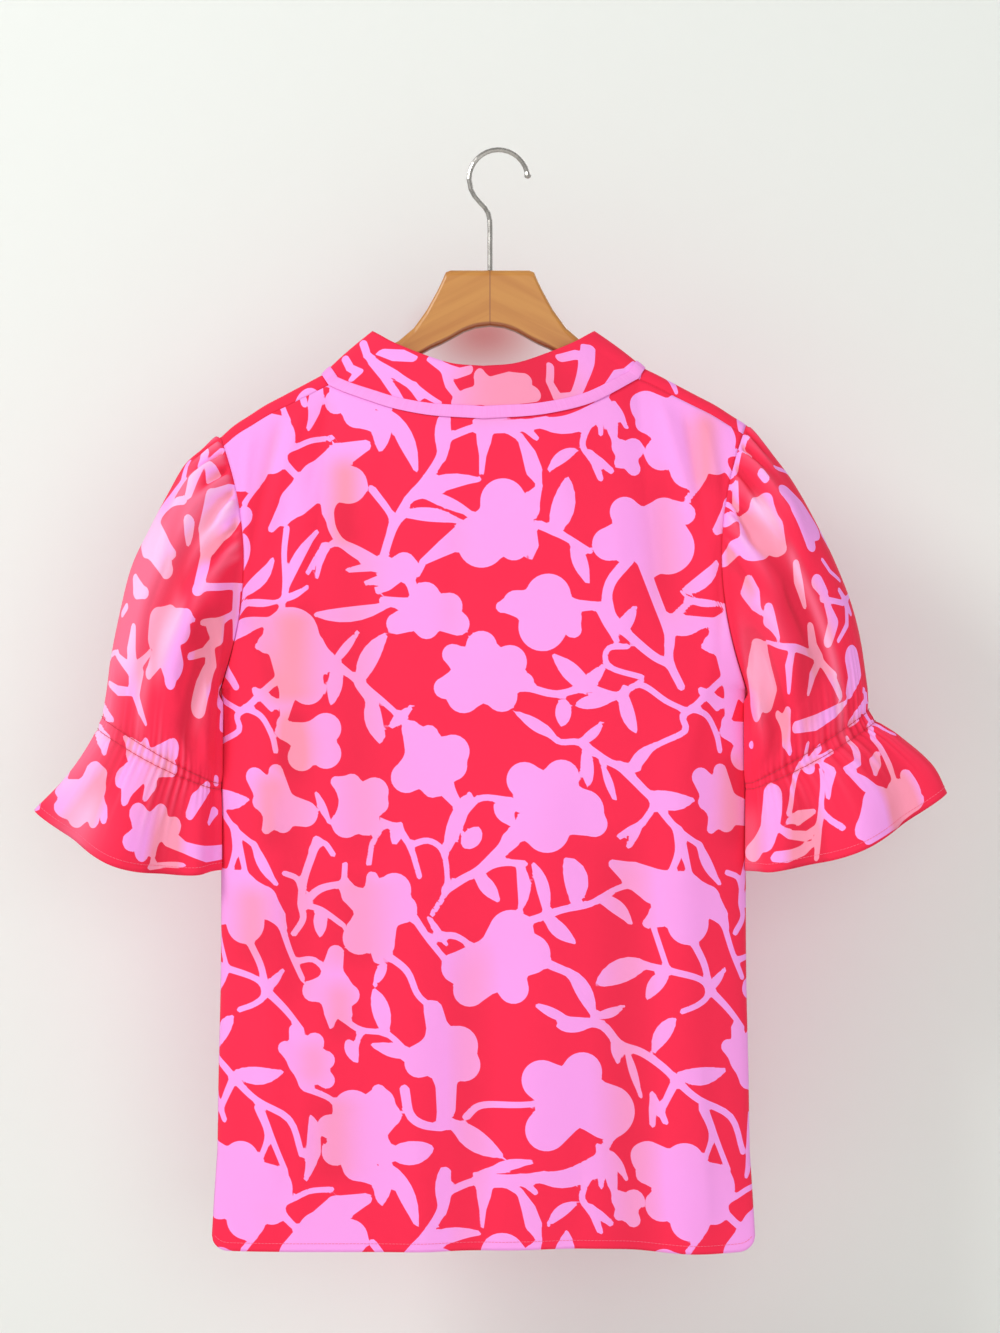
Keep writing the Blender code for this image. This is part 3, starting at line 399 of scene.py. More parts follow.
# A stem is its width, then its points
stems = [
    (6.8, (37, -227), (40, -256), (53, -278), (72, -301), (82, -322), (90, -347)),
    (5.1, (88, -351), (117, -335), (134, -333), (143, -346)), (5.1, (99, -287), (83, -309), (84, -322)),
    (4.2, (90, -344), (83, -322), (73, -310)),
    (5.1, (36, -244), (12, -235), (-8, -237), (-42, -233), (-70, -225), (-92, -214)),
    (5.1, (-104, -197), (-90, -220), (-78, -247), (-85, -261)),
    (4.2, (189, -256), (170, -252), (153, -244), (134, -242)), (5.1, (176, -264), (160, -276), (143, -262)),
    (4.2, (172, -320), (174, -341), (173, -371), (177, -390)),
    (6, (136, -303), (133, -320), (123, -334), (105, -347), (83, -358)),
    (5.1, (131, -432), (110, -449), (90, -465), (73, -480)), (7.6, (109, -451), (97, -470), (91, -494)),
    (6, (-42, -317), (-61, -326), (-83, -339)),
    (7.6, (-117, -346), (-101, -366), (-99, -388), (-112, -405), (-136, -426), (-151, -434)),
    (7.6, (-128, -346), (-141, -380), (-151, -409), (-151, -431), (-161, -453)),
    (6, (-151, -418), (-156, -395), (-170, -381)),
    (3.4, (-116, -419), (-99, -421), (-100, -436), (-128, -445)), (4.2, (-168, -295), (-178, -283)),
    (5.1, (-34, -454), (-56, -459), (-82, -454), (-107, -460), (-126, -451), (-148, -465), (-165, -473)),
    (5.1, (-207, -439), (-190, -453), (-172, -470), (-162, -478), (-164, -490), (-144, -500), (-128, -509)),
    (5.1, (-124, -521), (-102, -517), (-76, -500), (-58, -499), (-47, -488)),
    (4.2, (-170, -471), (-184, -478), (-193, -494), (-196, -507)),
    (6, (-109, -519), (-128, -538), (-138, -551), (-129, -567)),
    (5.1, (-139, -550), (-157, -572), (-178, -587)), (6, (-158, -573), (-159, -592), (-151, -614)),
    (5.1, (-161, -579), (-170, -616)),
    (6, (146, -582), (150, -594), (157, -614), (160, -635), (158, -648), (166, -661)),
    (4.2, (150, -590), (140, -584), (132, -594)), (4.2, (160, -621), (164, -614), (174, -610)),
    (6, (158, -636), (143, -623), (122, -618)), (4.2, (123, -619), (122, -602)),
    (4.2, (155, -637), (141, -641), (124, -653)), (3.4, (90, -570), (99, -585), (102, -602)),
    (5.1, (90, -567), (76, -573), (66, -589), (59, -612)),
    (4.2, (65, -585), (51, -582), (39, -592), (36, -621), (48, -643)),
    (5.1, (19, -555), (7, -546), (-19, -548)), (6, (37, -623), (17, -611), (-7, -601), (-29, -601)),
    (10.2, (-19, -582), (-8, -592), (10, -609)), (5.1, (63, -647), (51, -665), (34, -687)),
    (5.1, (49, -664), (29, -662), (8, -677)), (5.1, (88, -677), (70, -691), (61, -711), (49, -722)),
    (4.2, (177, -653), (169, -677), (159, -699)), (4.2, (163, -684), (148, -683), (133, -698)),
    (5.1, (-31, -650), (-60, -640), (-85, -635), (-107, -623), (-129, -618)),
    (3.4, (-139, -657), (-150, -689)), (5.1, (-124, -686), (-153, -692), (-178, -699), (-188, -709)),
    (5.1, (-173, -669), (-183, -689), (-186, -711), (-178, -720), (-163, -726)),
    (5.1, (-190, -711), (-204, -725), (-218, -742)), (6, (-51, -686), (-70, -696), (-85, -720)),
    (6, (-65, -734), (-94, -737), (-110, -754), (-129, -761), (-148, -774), (-162, -788), (-178, -801),
     (-207, -817), (-218, -847)),
    (6, (-158, -784), (-151, -798), (-145, -811)), (5.1, (-180, -808), (-189, -830), (-182, -852)),
    (4.2, (-184, -811), (-197, -844), (-204, -861)),
    (4.2, (126, -730), (110, -741), (88, -744), (75, -754), (65, -766)), (4.2, (109, -743), (114, -757)),
    (4.2, (155, -791), (133, -801), (122, -818)), (6.8, (72, -791), (67, -813), (51, -822), (27, -822)),
    (5.1, (20, -815), (7, -805), (-26, -804), (-56, -801)), (4.2, (-7, -866), (-34, -864), (-47, -862)),
    (5.1, (-26, -866), (-39, -878)),
]

# Strokes of the sleeves' and the collar's own print: x, z and radius of each spot on the flat cloth
leftMotifs = [
    [(25, 219, 4.2), (22, 202, 6.8), (16, 186, 8.5), (15, 171, 11.9)],
    [(15, 171, 12.8), (36, 162, 12.8), (56, 151, 6.8)], [(9, 170, 12.8), (26, 158, 9.3)],
    [(35, 164, 11), (54, 165, 4.2)], [(22, 190, 4.2), (39, 204, 3.4)], [(10, 237, 2.5), (22, 222, 2.5)],
    [(21, 264, 1.7), (26, 242, 2.5), (32, 226, 3.4), (40, 210, 2.5)], [(17, 251, 2.5), (24, 239, 1.7)],
    [(34, 242, 5.1), (40, 231, 1.7)], [(52, 195, 4.2), (58, 186, 3.4), (62, 180, 0.8)],
    [(52, 243, 5.1), (57, 225, 11), (68, 202, 10.2), (78, 184, 5.1)], [(66, 228, 5.1), (72, 206, 6.8)],
    [(76, 186, 3.4), (89, 166, 4.2), (99, 148, 4.2)], [(97, 149, 3.4), (109, 165, 3.4), (117, 174, 3.4)],
    [(117, 168, 2.5), (132, 150, 2.5), (153, 128, 1.7)],
    [(133, 148, 2.5), (128, 133, 5.1), (120, 128, 3.4)],
    [(131, 128, 6.8), (141, 118, 5.1), (139, 103, 5.1), (123, 97, 3.4)],
    [(144, 105, 4.2), (153, 94, 6), (153, 76, 11), (153, 60, 10.2)], [(34, 124, 6.8), (25, 130, 3.4)],
    [(36, 122, 6.8), (44, 124, 5.1)], [(24, 104, 3.4), (19, 97, 3.4)],
    [(79, 115, 12.8), (68, 112, 10.2), (71, 96, 9.3)], [(82, 110, 15.3), (102, 124, 7.6), (111, 126, 1.7)],
    [(90, 99, 15.3), (106, 83, 13.6), (108, 71, 7.6)], [(86, 88, 12.8), (75, 67, 6)], [(104, 112, 10.2)],
    [(42, 93, 3.4), (45, 75, 6), (54, 57, 6), (54, 44, 2.5)], [(25, 63, 2.5), (47, 60, 5.1)],
    [(69, 83, 2.5), (59, 69, 4.2)], [(4, 56, 3.4), (25, 66, 1.7)],
    [(16, 36, 2.5), (34, 36, 4.2), (56, 43, 3.4)],
    [(62, 62, 5.1), (63, 42, 5.1), (72, 32, 4.2), (81, 24, 1.7)],
    [(9, 14, 4.2), (22, 10, 5.1), (32, 10, 1.7)], [(13, -5, 5.1), (30, -10, 6.8), (37, -18, 2.5)],
    [(94, -7, 12.8), (69, -3, 9.3), (63, 0, 6)], [(83, 2, 8.5), (84, 8, 5.1)],
    [(96, -5, 11.9), (121, 15, 9.3), (124, 19, 6.8)], [(96, -5, 11.9), (125, -1, 6.8)],
    [(90, -9, 11.9), (71, -27, 9.3)], [(91, -13, 10.2), (83, -34, 6.8), (85, -43, 4.2)],
    [(98, -9, 10.2), (106, -21, 6.8), (105, -32, 3.4)], [(68, -1, 4.2), (53, 2, 2.5)],
    [(43, -50, 16.1), (35, -36, 8.5), (45, -36, 6.8)], [(41, -56, 14.4), (21, -61, 8.5)],
    [(43, -58, 14.4), (32, -74, 9.3)], [(46, -62, 13.6), (43, -79, 6.8)], [(48, -60, 12.8), (60, -71, 6.8)],
    [(51, -58, 11.9), (66, -58, 4.2), (71, -65, 4.2)], [(117, -57, 13.6), (102, -47, 8.5)],
    [(118, -57, 11.9), (126, -40, 8.5)], [(121, -57, 11.9), (145, -44, 6.8)],
    [(116, -61, 11.9), (103, -71, 7.6)], [(118, -63, 11), (115, -78, 6)],
    [(122, -62, 9.3), (126, -75, 3.4)], [(141, -56, 8.5), (157, -59, 5.1), (177, -59, 6.8), (197, -55, 6)],
    [(176, -3, 5.1), (163, -17, 6.8), (158, -31, 4.2)], [(188, 7, 2.5), (189, 2, 2.5)],
    [(187, -22, 4.2), (180, -33, 1.7)],
    [(129, -81, 2.5), (125, -86, 2.5), (151, -76, 2.5), (157, -73, 1.7)],
    [(188, 88, 2.5), (187, 73, 5.1), (195, 65, 2.5)], [(195, 60, 4.2), (195, 50, 4.2)],
    [(12, -52, 4.2), (4, -60, 3.4)], [(4, -83, 3.4), (14, -88, 3.4)],
]

rightMotifs = [
    [(-64, 197, 15.3), (-52, 211, 8.5)], [(-65, 197, 13.6), (-67, 208, 7.6)],
    [(-66, 195, 15.3), (-83, 182, 11)], [(-64, 193, 13.6), (-69, 175, 7.6)],
    [(-62, 189, 11.9), (-64, 173, 6)], [(-31, 205, 7.6), (-27, 190, 11), (-22, 169, 10.2)],
    [(-28, 185, 11.9), (-35, 159, 6)], [(-7, 160, 5.1), (-6, 150, 3.4)],
    [(-21, 265, 4.2), (-28, 263, 2.5), (-30, 252, 3.4)], [(-36, 258, 3.4), (-49, 248, 3.4)],
    [(-57, 241, 2.5), (-57, 241, 1.7)], [(-53, 239, 1.7), (-67, 222, 2.5), (-68, 231, 1.7)],
    [(-38, 229, 2.5), (-39, 222, 2.5)], [(-20, 229, 2.5), (-4, 219, 1.7)], [(-77, 218, 6.8)],
    [(-89, 194, 6.8), (-106, 189, 4.2)],
    [(-103, 165, 2.5), (-111, 154, 6.8), (-117, 140, 3.4), (-117, 134, 0.8)],
    [(-109, 135, 3.4), (-116, 123, 6), (-115, 108, 1.7)],
    [(-129, 109, 1.7), (-101, 93, 3.4), (-81, 79, 3.4), (-61, 54, 2.5)],
    [(-107, 92, 3.4), (-115, 83, 4.2), (-124, 63, 1.7)], [(-76, 73, 4.2), (-91, 65, 4.2), (-101, 53, 1.7)],
    [(-74, 74, 3.4), (-66, 55, 4.2), (-58, 35, 3.4)], [(-58, 154, 3.4), (-64, 140, 5.1), (-69, 120, 2.5)],
    [(-46, 130, 6.8), (-44, 120, 5.1)], [(-46, 109, 3.4), (-46, 94, 6), (-58, 83, 5.1)],
    [(-72, 102, 4.2), (-78, 87, 6), (-73, 76, 4.2)], [(-49, 116, 2.5), (-27, 103, 2.5), (-4, 104, 1.7)],
    [(-24, 113, 2.5), (-20, 101, 3.4), (-19, 91, 2.5)], [(-22, 99, 2.5), (-30, 85, 2.5), (-47, 78, 1.7)],
    [(-29, 143, 1.7), (-26, 131, 1.7), (-17, 120, 1.7)], [(-34, 58, 10.2), (-33, 43, 10.2), (-44, 33, 6)],
    [(-139, 107, 7.6), (-156, 83, 16.1), (-174, 64, 10.2)],
    [(-147, 94, 11.9), (-146, 72, 8.5), (-157, 61, 7.6)],
    [(-131, 48, 4.2), (-137, 40, 7.6), (-138, 24, 6), (-133, 13, 2.5)], [(-146, 47, 4.2), (-139, 39, 6.8)],
    [(-123, 32, 5.1), (-95, 26, 6.8), (-67, 25, 5.1), (-51, 26, 1.7)], [(-115, -5, 7.6)],
    [(-113, 2, 2.5), (-108, 12, 2.5)], [(-109, -2, 2.5), (-92, 4, 2.5)], [(-108, -4, 2.5), (-81, -5, 2.5)],
    [(-122, -1, 2.5), (-133, -7, 2.5), (-144, -17, 2.5), (-154, -34, 2.5)],
    [(-100, -8, 2.5), (-97, -18, 5.1), (-107, -28, 3.4), (-112, -37, 0.8)],
    [(-105, -14, 1.7), (-119, -36, 2.5), (-129, -57, 3.4), (-133, -81, 2.5)],
    [(-130, -42, 2.5), (-146, -41, 6), (-156, -40, 1.7)],
    [(-122, -45, 2.5), (-116, -55, 2.5), (-107, -65, 2.5)],
    [(-128, -55, 2.5), (-142, -59, 4.2), (-155, -52, 3.4), (-166, -40, 1.7)],
    [(-133, -66, 2.5), (-145, -70, 4.2), (-157, -69, 5.1), (-167, -65, 4.2)],
    [(-166, -14, 10.2), (-170, -30, 10.2), (-175, -51, 7.6)], [(-176, -43, 8.5), (-189, -56, 8.5)],
    [(-56, -3, 2.5), (-58, -15, 3.4), (-68, -25, 3.4), (-83, -24, 2.5)],
    [(-83, -25, 2.5), (-76, -41, 6), (-70, -52, 5.1)], [(-75, -64, 15.3), (-88, -73, 10.2)],
    [(-70, -64, 13.6), (-57, -79, 11.9), (-38, -82, 6.8)], [(-60, -80, 11), (-86, -83, 6)],
    [(-49, -66, 11), (-39, -73, 7.6), (-36, -57, 4.2)], [(-52, -66, 8.5), (-56, -69, 5.1)],
    [(-24, 13, 4.2), (-38, 8, 5.1), (-48, 6, 2.5)],
    [(-22, 11, 3.4), (-21, -2, 2.5), (-34, -15, 2.5), (-38, -30, 2.5), (-42, -43, 2.5), (-46, -55, 1.7)],
    [(-44, -29, 2.5), (-52, -34, 6), (-60, -42, 1.7)], [(-17, -6, 3.4), (-17, -15, 3.4), (-14, -25, 2.5)],
    [(-23, 26, 2.5), (-16, 16, 3.4), (-4, 7, 2.5)], [(-189, 35, 3.4)],
]

collarMotifs = [
    [(149, 43, 3.4), (133, 38, 3.4), (104, 24, 3.4), (85, 13, 3.4), (76, 6, 3.4)],
    [(129, 47, 4.2), (109, 47, 6.8), (90, 47, 3.4)],
    [(125, 35, 3.4), (97, 29, 3.4), (73, 22, 3.4), (61, 12, 2.5)],
    [(73, 22, 3.4), (55, 15, 2.5), (42, 10, 1.7)],
    [(73, 50, 3.4), (51, 42, 4.2), (33, 37, 5.1), (20, 40, 4.2)],
    [(51, 42, 3.4), (38, 27, 4.2), (23, 14, 3.4)], [(1, 25, 11), (7, 35, 6.8)],
    [(-9, 24, 11), (-28, 31, 7.6), (-43, 31, 6)], [(-3, 19, 10.2), (-44, 18, 7.6)],
    [(6, 19, 8.5), (19, 16, 7.6), (26, 12, 6)], [(-13, 22, 10.2), (-22, 15, 7.6)],
    [(-76, 41, 3.4), (-65, 26, 3.4), (-65, 11, 4.2), (-80, 9, 4.2), (-95, 21, 5.1), (-113, 34, 6.8),
     (-132, 47, 6)],
    [(-114, 44, 5.1), (-92, 46, 4.2)], [(-101, 0, 4.2), (-111, 6, 3.4), (-128, 13, 3.4), (-145, 9, 2.5)],
    [(-110, 5, 2.5), (-121, 0, 4.2), (-138, 0, 3.4), (-149, 0, 1.7)],
    [(148, 23, 3.4), (129, 21, 4.2), (128, 12, 2.5)],
]

# Bands round the sleeves: painted shade turns them towards the folds' colour, painted highlight towards the
# lit colour
leftLightBands = table(
    "angle width start end fold glow",
    (80, 7, 0.3, 0.66, 1, 0.5), (14, 26, 0.3, 1, 0, 1), (44, 17, 0.12, 0.74, 0, 0.85),
    (52, 16, 0.88, 1.4, 0, 0.7), (112, 13, 0.05, 0.4, 0.9, 0), (135, 9, 0.3, 0.62, 0.8, 0),
    (58, 5, 0, 0.2, 0.7, 0.2), (98, 13, 0.74, 0.96, 0.7, 0), (70, 6, 0.55, 0.84, 0.3, 0.6),
)

rightLightBands = table(
    "angle width start end fold glow",
    (128, 22, 0.03, 0.55, 1, 0.25), (60, 4, 0.28, 0.86, 1, 0.75), (56, 4, 0.08, 0.32, 1, 0.75),
    (90, 5, 0, 0.1, 0.9, 0.2), (165, 14, 0.84, 1.4, 0.9, 0.4), (90, 10, 0.45, 0.82, 0.8, 0),
    (33, 8, 0, 0.1, 0.6, 0),
)


class PrintField:
    # how far inside a motif each place of the flat cloth lies, in millimetres

    def __init__(self, u, v, width, height):
        self.u, self.v, self.size = u.ravel(), v.ravel(), (width, height)
        self.value = np.full(self.u.shape, printLook["outside"])

    def stroke(self, points, radii):
        points, radii = np.array(points, dtype=float), np.maximum(radii, printLook["leastRadius"])
        middle = points.mean(axis=0)
        local = points - middle
        reach = np.abs(local).max() + max(radii) - printLook["outside"]
        du, dv = ((at - centre + size / 2) % size - size / 2
                  for at, centre, size in zip((self.u, self.v), middle, self.size))
        pick = np.nonzero((np.abs(du) < reach) & (np.abs(dv) < reach))[0]
        du, dv = du[pick], dv[pick]
        best = np.full(du.shape, printLook["outside"])
        if len(local) == 1:
            best = radii[0] - np.hypot(du, dv)
        for a, b, ra, rb in zip(local, local[1:], radii, radii[1:]):
            line = b - a
            s = np.clip(((du - a[0]) * line[0] + (dv - a[1]) * line[1]) / max(line @ line, 1e-6), 0, 1)
            gap = np.hypot(du - a[0] - line[0] * s, dv - a[1] - line[1] * s)
            best = np.maximum(best, ra + (rb - ra) * s - gap)
        old, blend = self.value[pick], printLook["fillet"]
        share = np.maximum(blend - np.abs(old - best), 0.0) / blend
        self.value[pick] = np.maximum(old, best) + share**2 * blend / 4    # a small fillet where strokes meet

    def arm(self, spots):
        self.stroke([spot[:2] for spot in spots], [spot[2] for spot in spots])

    def leaf(self, x, z, tipX, tipZ, width, bend):
        base, along = np.array([x, z]), np.array([tipX - x, tipZ - z])
        side = unit(np.array([-along[1], along[0]]))
        s = np.linspace(0.0, 1.0, leafLook["points"])[:, None]
        place = (leafLook["start"] + leafLook["span"] * s[:, 0]) ** leafLook["lean"]
        widths = width * np.sin(math.pi * place) ** leafLook["fullness"]
        self.stroke(base + along * s + side * bend * 4 * s * (1 - s) * leafLook["bend"], widths / 2)

    def tulip(self, x, z, tipX, tipZ, width, fingers):
        base, along = np.array([x, z]), np.array([tipX - x, tipZ - z])
        side = unit(np.array([-along[1], along[0]]))
        for share in np.linspace(-1.0, 1.0, int(fingers)):
            end = base + along * (1.0 - tulipLook["shorten"] * abs(share))
            end = end + side * share * width * tulipLook["spread"]
            self.stroke([base, (base + end) / 2, end], [width * radius for radius in tulipLook["radii"]])

    def stem(self, width, *points):
        number = np.arange(len(points)) * 1.0
        fine = np.linspace(0, number[-1], 4 * len(points) - 3)
        smooth = np.stack([smoothValue({"n": number, "c": np.array(part) * 1.0}, "n", "c", fine)
                           for part in zip(*points)], axis=-1)
        widths = width * stemLook["widen"] + stemLook["extra"]
        widths = widths * (1.0 - stemLook["taper"] * np.linspace(0, 1, len(smooth)))
        self.stroke(smooth, np.maximum(widths, stemLook["least"]) / 2)

    def paint(self):
        for heart, *arms in blossoms:
            for spots in arms:
                self.arm([heart] + spots)
        for draw, motifs in ((self.tulip, zip(*tulips.values())), (self.leaf, zip(*leaves.values())),
                             (self.stem, stems)):
            for motif in motifs:
                draw(*motif)
        return self.value


def flatPrint(u, v, shift):
    field = PrintField(u + shift[0], v + shift[1], printLook["width"], printLook["height"])
    return field.paint().reshape(u.shape)


def armPrint(u, v, arms, repeat):
    field = PrintField(u, v, repeat, printLook["noRepeat"])
    for spots in arms:
        field.arm(spots)
    return field.value.reshape(u.shape)


# Cloth surfaces as grids of points [row, column, xyz]

def shoulderHeight(x):
    return smoothValue(shoulder, "x", "z", np.abs(x)) - form["halfWall"]


def sleeveRing(sleeve, t, angles):
    at = {name: smoothValue(sleeve, "t", name, t) for name in sleeve}
    reach, side = (1.0 - np.cos(angles)) / 2.0, np.sin(angles)
    x, z = (at["outer" + way] + (at["inner" + way] - at["outer" + way]) * reach + at["bow" + way] * side**2
            for way in "XZ")
    return np.stack([x, at["depth"] * np.sign(side) * np.abs(side) ** form["fullness"], z], axis=-1)


def armhole(sign, angles):
    return sleeveRing(leftSleeve if sign > 0 else rightSleeve, 0.0, angles) * (sign, 1.0, 1.0)


def bodyRows(back):
    sine, even = form["crowding"]
    share = (sine * np.sin(columns / half * math.pi / 2) + even * columns / half)[None, :]
    rise = np.linspace(0.0, 1.0, cloth["lowerRows"] + 1)[:, None]
    corner = form["hemCorner"]
    past = np.maximum(corner - (1.0 - np.abs(share)) * body["halfWidth"][0], 0)
    low = smoothValue(hem, "share", "z", share) + corner - np.sqrt(np.maximum(corner**2 - past**2, 0))
    z = low + (form["underarm"] - low) * rise
    vent = np.clip((low + form["ventLength"] - z) / form["ventLength"], 0.0, 1.0)
    vent = vent * np.abs(share) ** form["ventPower"]
    x = form["shift"] + smoothValue(body, "z", "halfWidth", z) * share
    x = x + vent * form["ventSwing"] * np.sign(share)
    flank = np.sqrt(np.maximum(1.0 - np.abs(share) ** form["sideRoundness"], 0.0))
    y = smoothValue(body, "z", "back" if back else "front", z) * flank + form["sideEdge"]
    y = y + vent * form["ventSpread"]
    return np.stack([x, y if back else -y, z], axis=-1)


def topColumns(back):
    rows = backNeck if back else frontNeck
    neck, notch, shift = form["neckHalf"], form["notchHalf"], form["shift"]
    points = []
    for place, sign in zip(places, np.where(columns >= 0, 1.0, -1.0)):
        if place > neckPlace:
            start, step = shift + sign * neck, (place - neckPlace) / (sidePlace - neckPlace)
            x = start + (armhole(sign, np.array([0.0]))[0, 0] - start) * step
            z = shoulderHeight(x + form["neckFlare"] * sign * (1.0 - step)) - form["rollDrop"]
            points.append((x, form["rollHalf"] * (1 if back else -1), z))
            continue
        x = neck * place / neckPlace
        if not back:
            x = np.interp(place, (0, notchPlace, neckPlace), (0, notch, neck))
        if back or place > notchPlace:
            y, z = smoothValue(rows, "x", "y", x), smoothValue(rows, "x", "z", x)
        else:
            y, z = np.interp(x, rows["x"], rows["y"]), np.interp(x, rows["x"], rows["z"])
        seamZ = shoulderHeight(shift + sign * (neck + form["neckFlare"])) - form["rollDrop"]
        rise = ease((x - form["neckEase"]) / (neck - form["neckEase"]))
        points.append((shift + sign * x, y, z + (seamZ - rows["z"][-1]) * rise))
    return np.array(points, dtype=float)


def foldHeight(folds, x, z):
    total = np.zeros_like(x)
    for foldX, top, bottom, drift, width, height in zip(*folds.values()):
        across = hump(x - foldX - drift * (z - top), width)
        total += height * across * ease((top - z) / foldEnd) * ease((z - bottom) / foldEnd)
    return total


def creaseHeight(creases, x, z):
    # a soft trough or ridge along each short line, deepest in its middle
    total = np.zeros_like(x)
    past, fade = creaseLook["past"], creaseLook["fade"]
    for x1, z1, x2, z2, width, height in zip(*creases.values()):
        line = np.array([x2 - x1, z2 - z1])
        length = np.hypot(*line)
        s = ((x - x1) * line[0] + (z - z1) * line[1]) / length**2
        off = ((x - x1) * line[1] - (z - z1) * line[0]) / length
        along = ease((s + past) / fade) * ease((1.0 + past - s) / fade)
        total += height * along * hump(off, width, creaseLook["power"])
    return total


def panelGrid(back, folds, creases):
    steps, facing = cloth["upperRows"], 1 if back else -1
    lower, top = bodyRows(back), topColumns(back)
    angles = np.linspace(math.pi, form["seamAngle"] if back else fullTurn - form["seamAngle"], steps + 1)
    right, left = armhole(-1, angles), armhole(1, angles)
    for edge in (right, left):
        edge[0, 1] = form["sideEdge"] * facing
        edge[-1, 2] -= form["seamGap"] / 2 * back
    top[:, 2] -= form["seamGap"] / 2 * (places >= neckPlace) * back
    weight = ((places / sidePlace) ** 3)[:, None]
    rows = list(lower)
    for step in range(1, steps + 1):
        row = lower[-1] + (top - lower[-1]) * step / steps
        push = np.where((columns < 0)[:, None], right[step] - row[0], left[step] - row[-1])
        rows.append(row + weight * push)
    grid = np.array(rows)
    upper = backPlaces if back else frontPlaces
    rowPlace = np.append(np.linspace(0, underarmPlace, cloth["lowerRows"] + 1),
                         underarmPlace + upper * np.arange(1, steps + 1) / steps)
    x, z = grid[..., 0] - form["shift"], grid[..., 2]
    calm, fine = (ease((sidePlace - places) / side)[None, :]
                  * ease((underarmPlace + upper - rowPlace) / end)[:, None]
                  for side, end in (form["foldFade"], form["creaseFade"]))
    ripple = np.sin(x / ripples["width"] + np.sin(z / ripples["length"]) * ripples["sway"])
    ripple = ripples["height"] * ripple * ease((ripples["from"] - z) / ripples["fade"])
    lift = (foldHeight(folds, x, z) + ripple) * calm + creaseHeight(creases, x, z) * fine
    grid[..., 1] += facing * lift
    return grid, lift


def rollGrid(startRow, sign):
    # the front's shoulder, rolled over the hanger to the seam at the back
    out = np.arange(neckAt, half + 1)
    neck, weight = (out - neckAt) / (half - neckAt), (out / half)[:, None] ** 3
    steps, seam = cloth["rollRows"], form["seamAngle"]
    edge = armhole(sign, np.linspace(fullTurn - seam, fullTurn + seam, steps + 1))
    edge[-1, 2] += form["seamGap"] / 2
    start = startRow[half + sign * out]
    rows = []
    for step in range(steps + 1):
        turn = math.pi * step / steps
        rise = math.sin(turn) ** form["fullness"]
        row = start.copy()
        row[:, 0] += form["neckFlare"] * sign * (1.0 - neck) * rise
        row[:, 1] = -form["rollHalf"] * math.copysign(abs(math.cos(turn)) ** form["fullness"], math.cos(turn))
        row[:, 2] += form["rollDrop"] * rise + form["seamGap"] / 2 * (step == steps)
        rows.append(row + (weight - weight[0]) / (1.0 - weight[0]) * (edge[step] - row[-1]))
    rows[0] = start
    return np.array(rows)


def neckLoop(back, front, leftRoll, rightRoll):
    # the neck seam from the left end of the notch, round the back, to the right end
    loop = np.concatenate([front[-1][half + notchAt:half + neckAt], leftRoll[:-1, 0],
                           back[-1][half - neckAt:half + neckAt + 1][::-1], rightRoll[:-1][::-1, 0],
                           front[-1][half - neckAt + 1:half - notchAt + 1]])
    fine = np.linspace(0, len(loop) - 1, 2 * len(loop) - 1)
    return np.stack([np.interp(fine, np.arange(len(loop)), part) for part in loop.T], axis=-1)


def collarGrid(loop):
    run = np.linspace(1.0, -1.0, len(loop))
    top = np.stack([smoothValue(collarTop, "station", name, np.abs(run)) for name in "xyz"], axis=-1)
    top[:, 0] = form["shift"] + np.sign(run) * top[:, 0]
    base = loop + unit(top - loop) * form["collarGap"]
    outward = unit((loop - (form["shift"], 0.0, 0.0)) * (1.0, 1.0, 0.0)) * form["collarBulge"]
    return np.array([base + (top - base) * h + outward * math.sin(math.pi * h)
                     for h in np.arange(cloth["collarRows"] + 1) / cloth["collarRows"]])


def stripGrid(collar):
    # a rolled strip along the collar's foot, leaning with its lowest quarter
    quarter = 4
    up = collar[cloth["collarRows"] // quarter] - collar[0]
    height = np.linalg.norm(collar[-1] - collar[0], axis=1)
    normal = unit(np.cross(up, np.gradient(collar[0], axis=0)))
    facing = np.sign(np.sum(((collar[0] - (form["shift"], 0.0, 0.0)) * normal)[:, :2], axis=1))
    rows = []
    first, last = stripLook["rows"][0], stripLook["rows"][-1]
    for step in stripLook["rows"]:
        turn = math.pi * (step - first) / (last - first)
        stand = stripLook["stand"] + stripLook["bulge"] * max(math.sin(turn), 0.0) ** stripLook["roundness"]
        rows.append(collar[0] + up * (step / height * quarter)[:, None] + normal * facing[:, None] * stand)
    return np.array(rows)


sleeveForm = {
    "ringEase": 0.035,
    "seamFade": 0.02,
    "seamLift": 0.4,
    "hug": ((170, 5, 4.5), (190, 5, 4.5), (180, 6, 1.1)),    # keeps clear of the body: angle, width and depth
    "hugStart": 0.01,
    "hugFade": 0.10,
    "outward": (0.35, 1.0, 0.35),
    "largeFolds": ((sleeveFolds, 1.2, 0.12), (ruffleFolds, 1.25, 0.2)),    # scale of their height, and entry
    "foldExit": 0.14,
    "foldCalm": 0.35,
    "gatherCalm": 0.25,
    "gatherStart": 0.03,
    "innerGathers": 0.35,    # share of the gathers' height left beside the body
}


def ringOffset(degrees, angle):
    return (degrees - angle + 180.0) % 360.0 - 180.0


def ringLift(rows, degrees, t, entry):
    total = np.zeros((len(t), len(degrees)))
    for angle, width, start, end, height in zip(*rows.values()):
        along = ease((t - start) / entry) * ease((end - t) / sleeveForm["foldExit"])
        total += height * along[:, None] * hump(ringOffset(degrees, angle), width)[None, :]
    return total


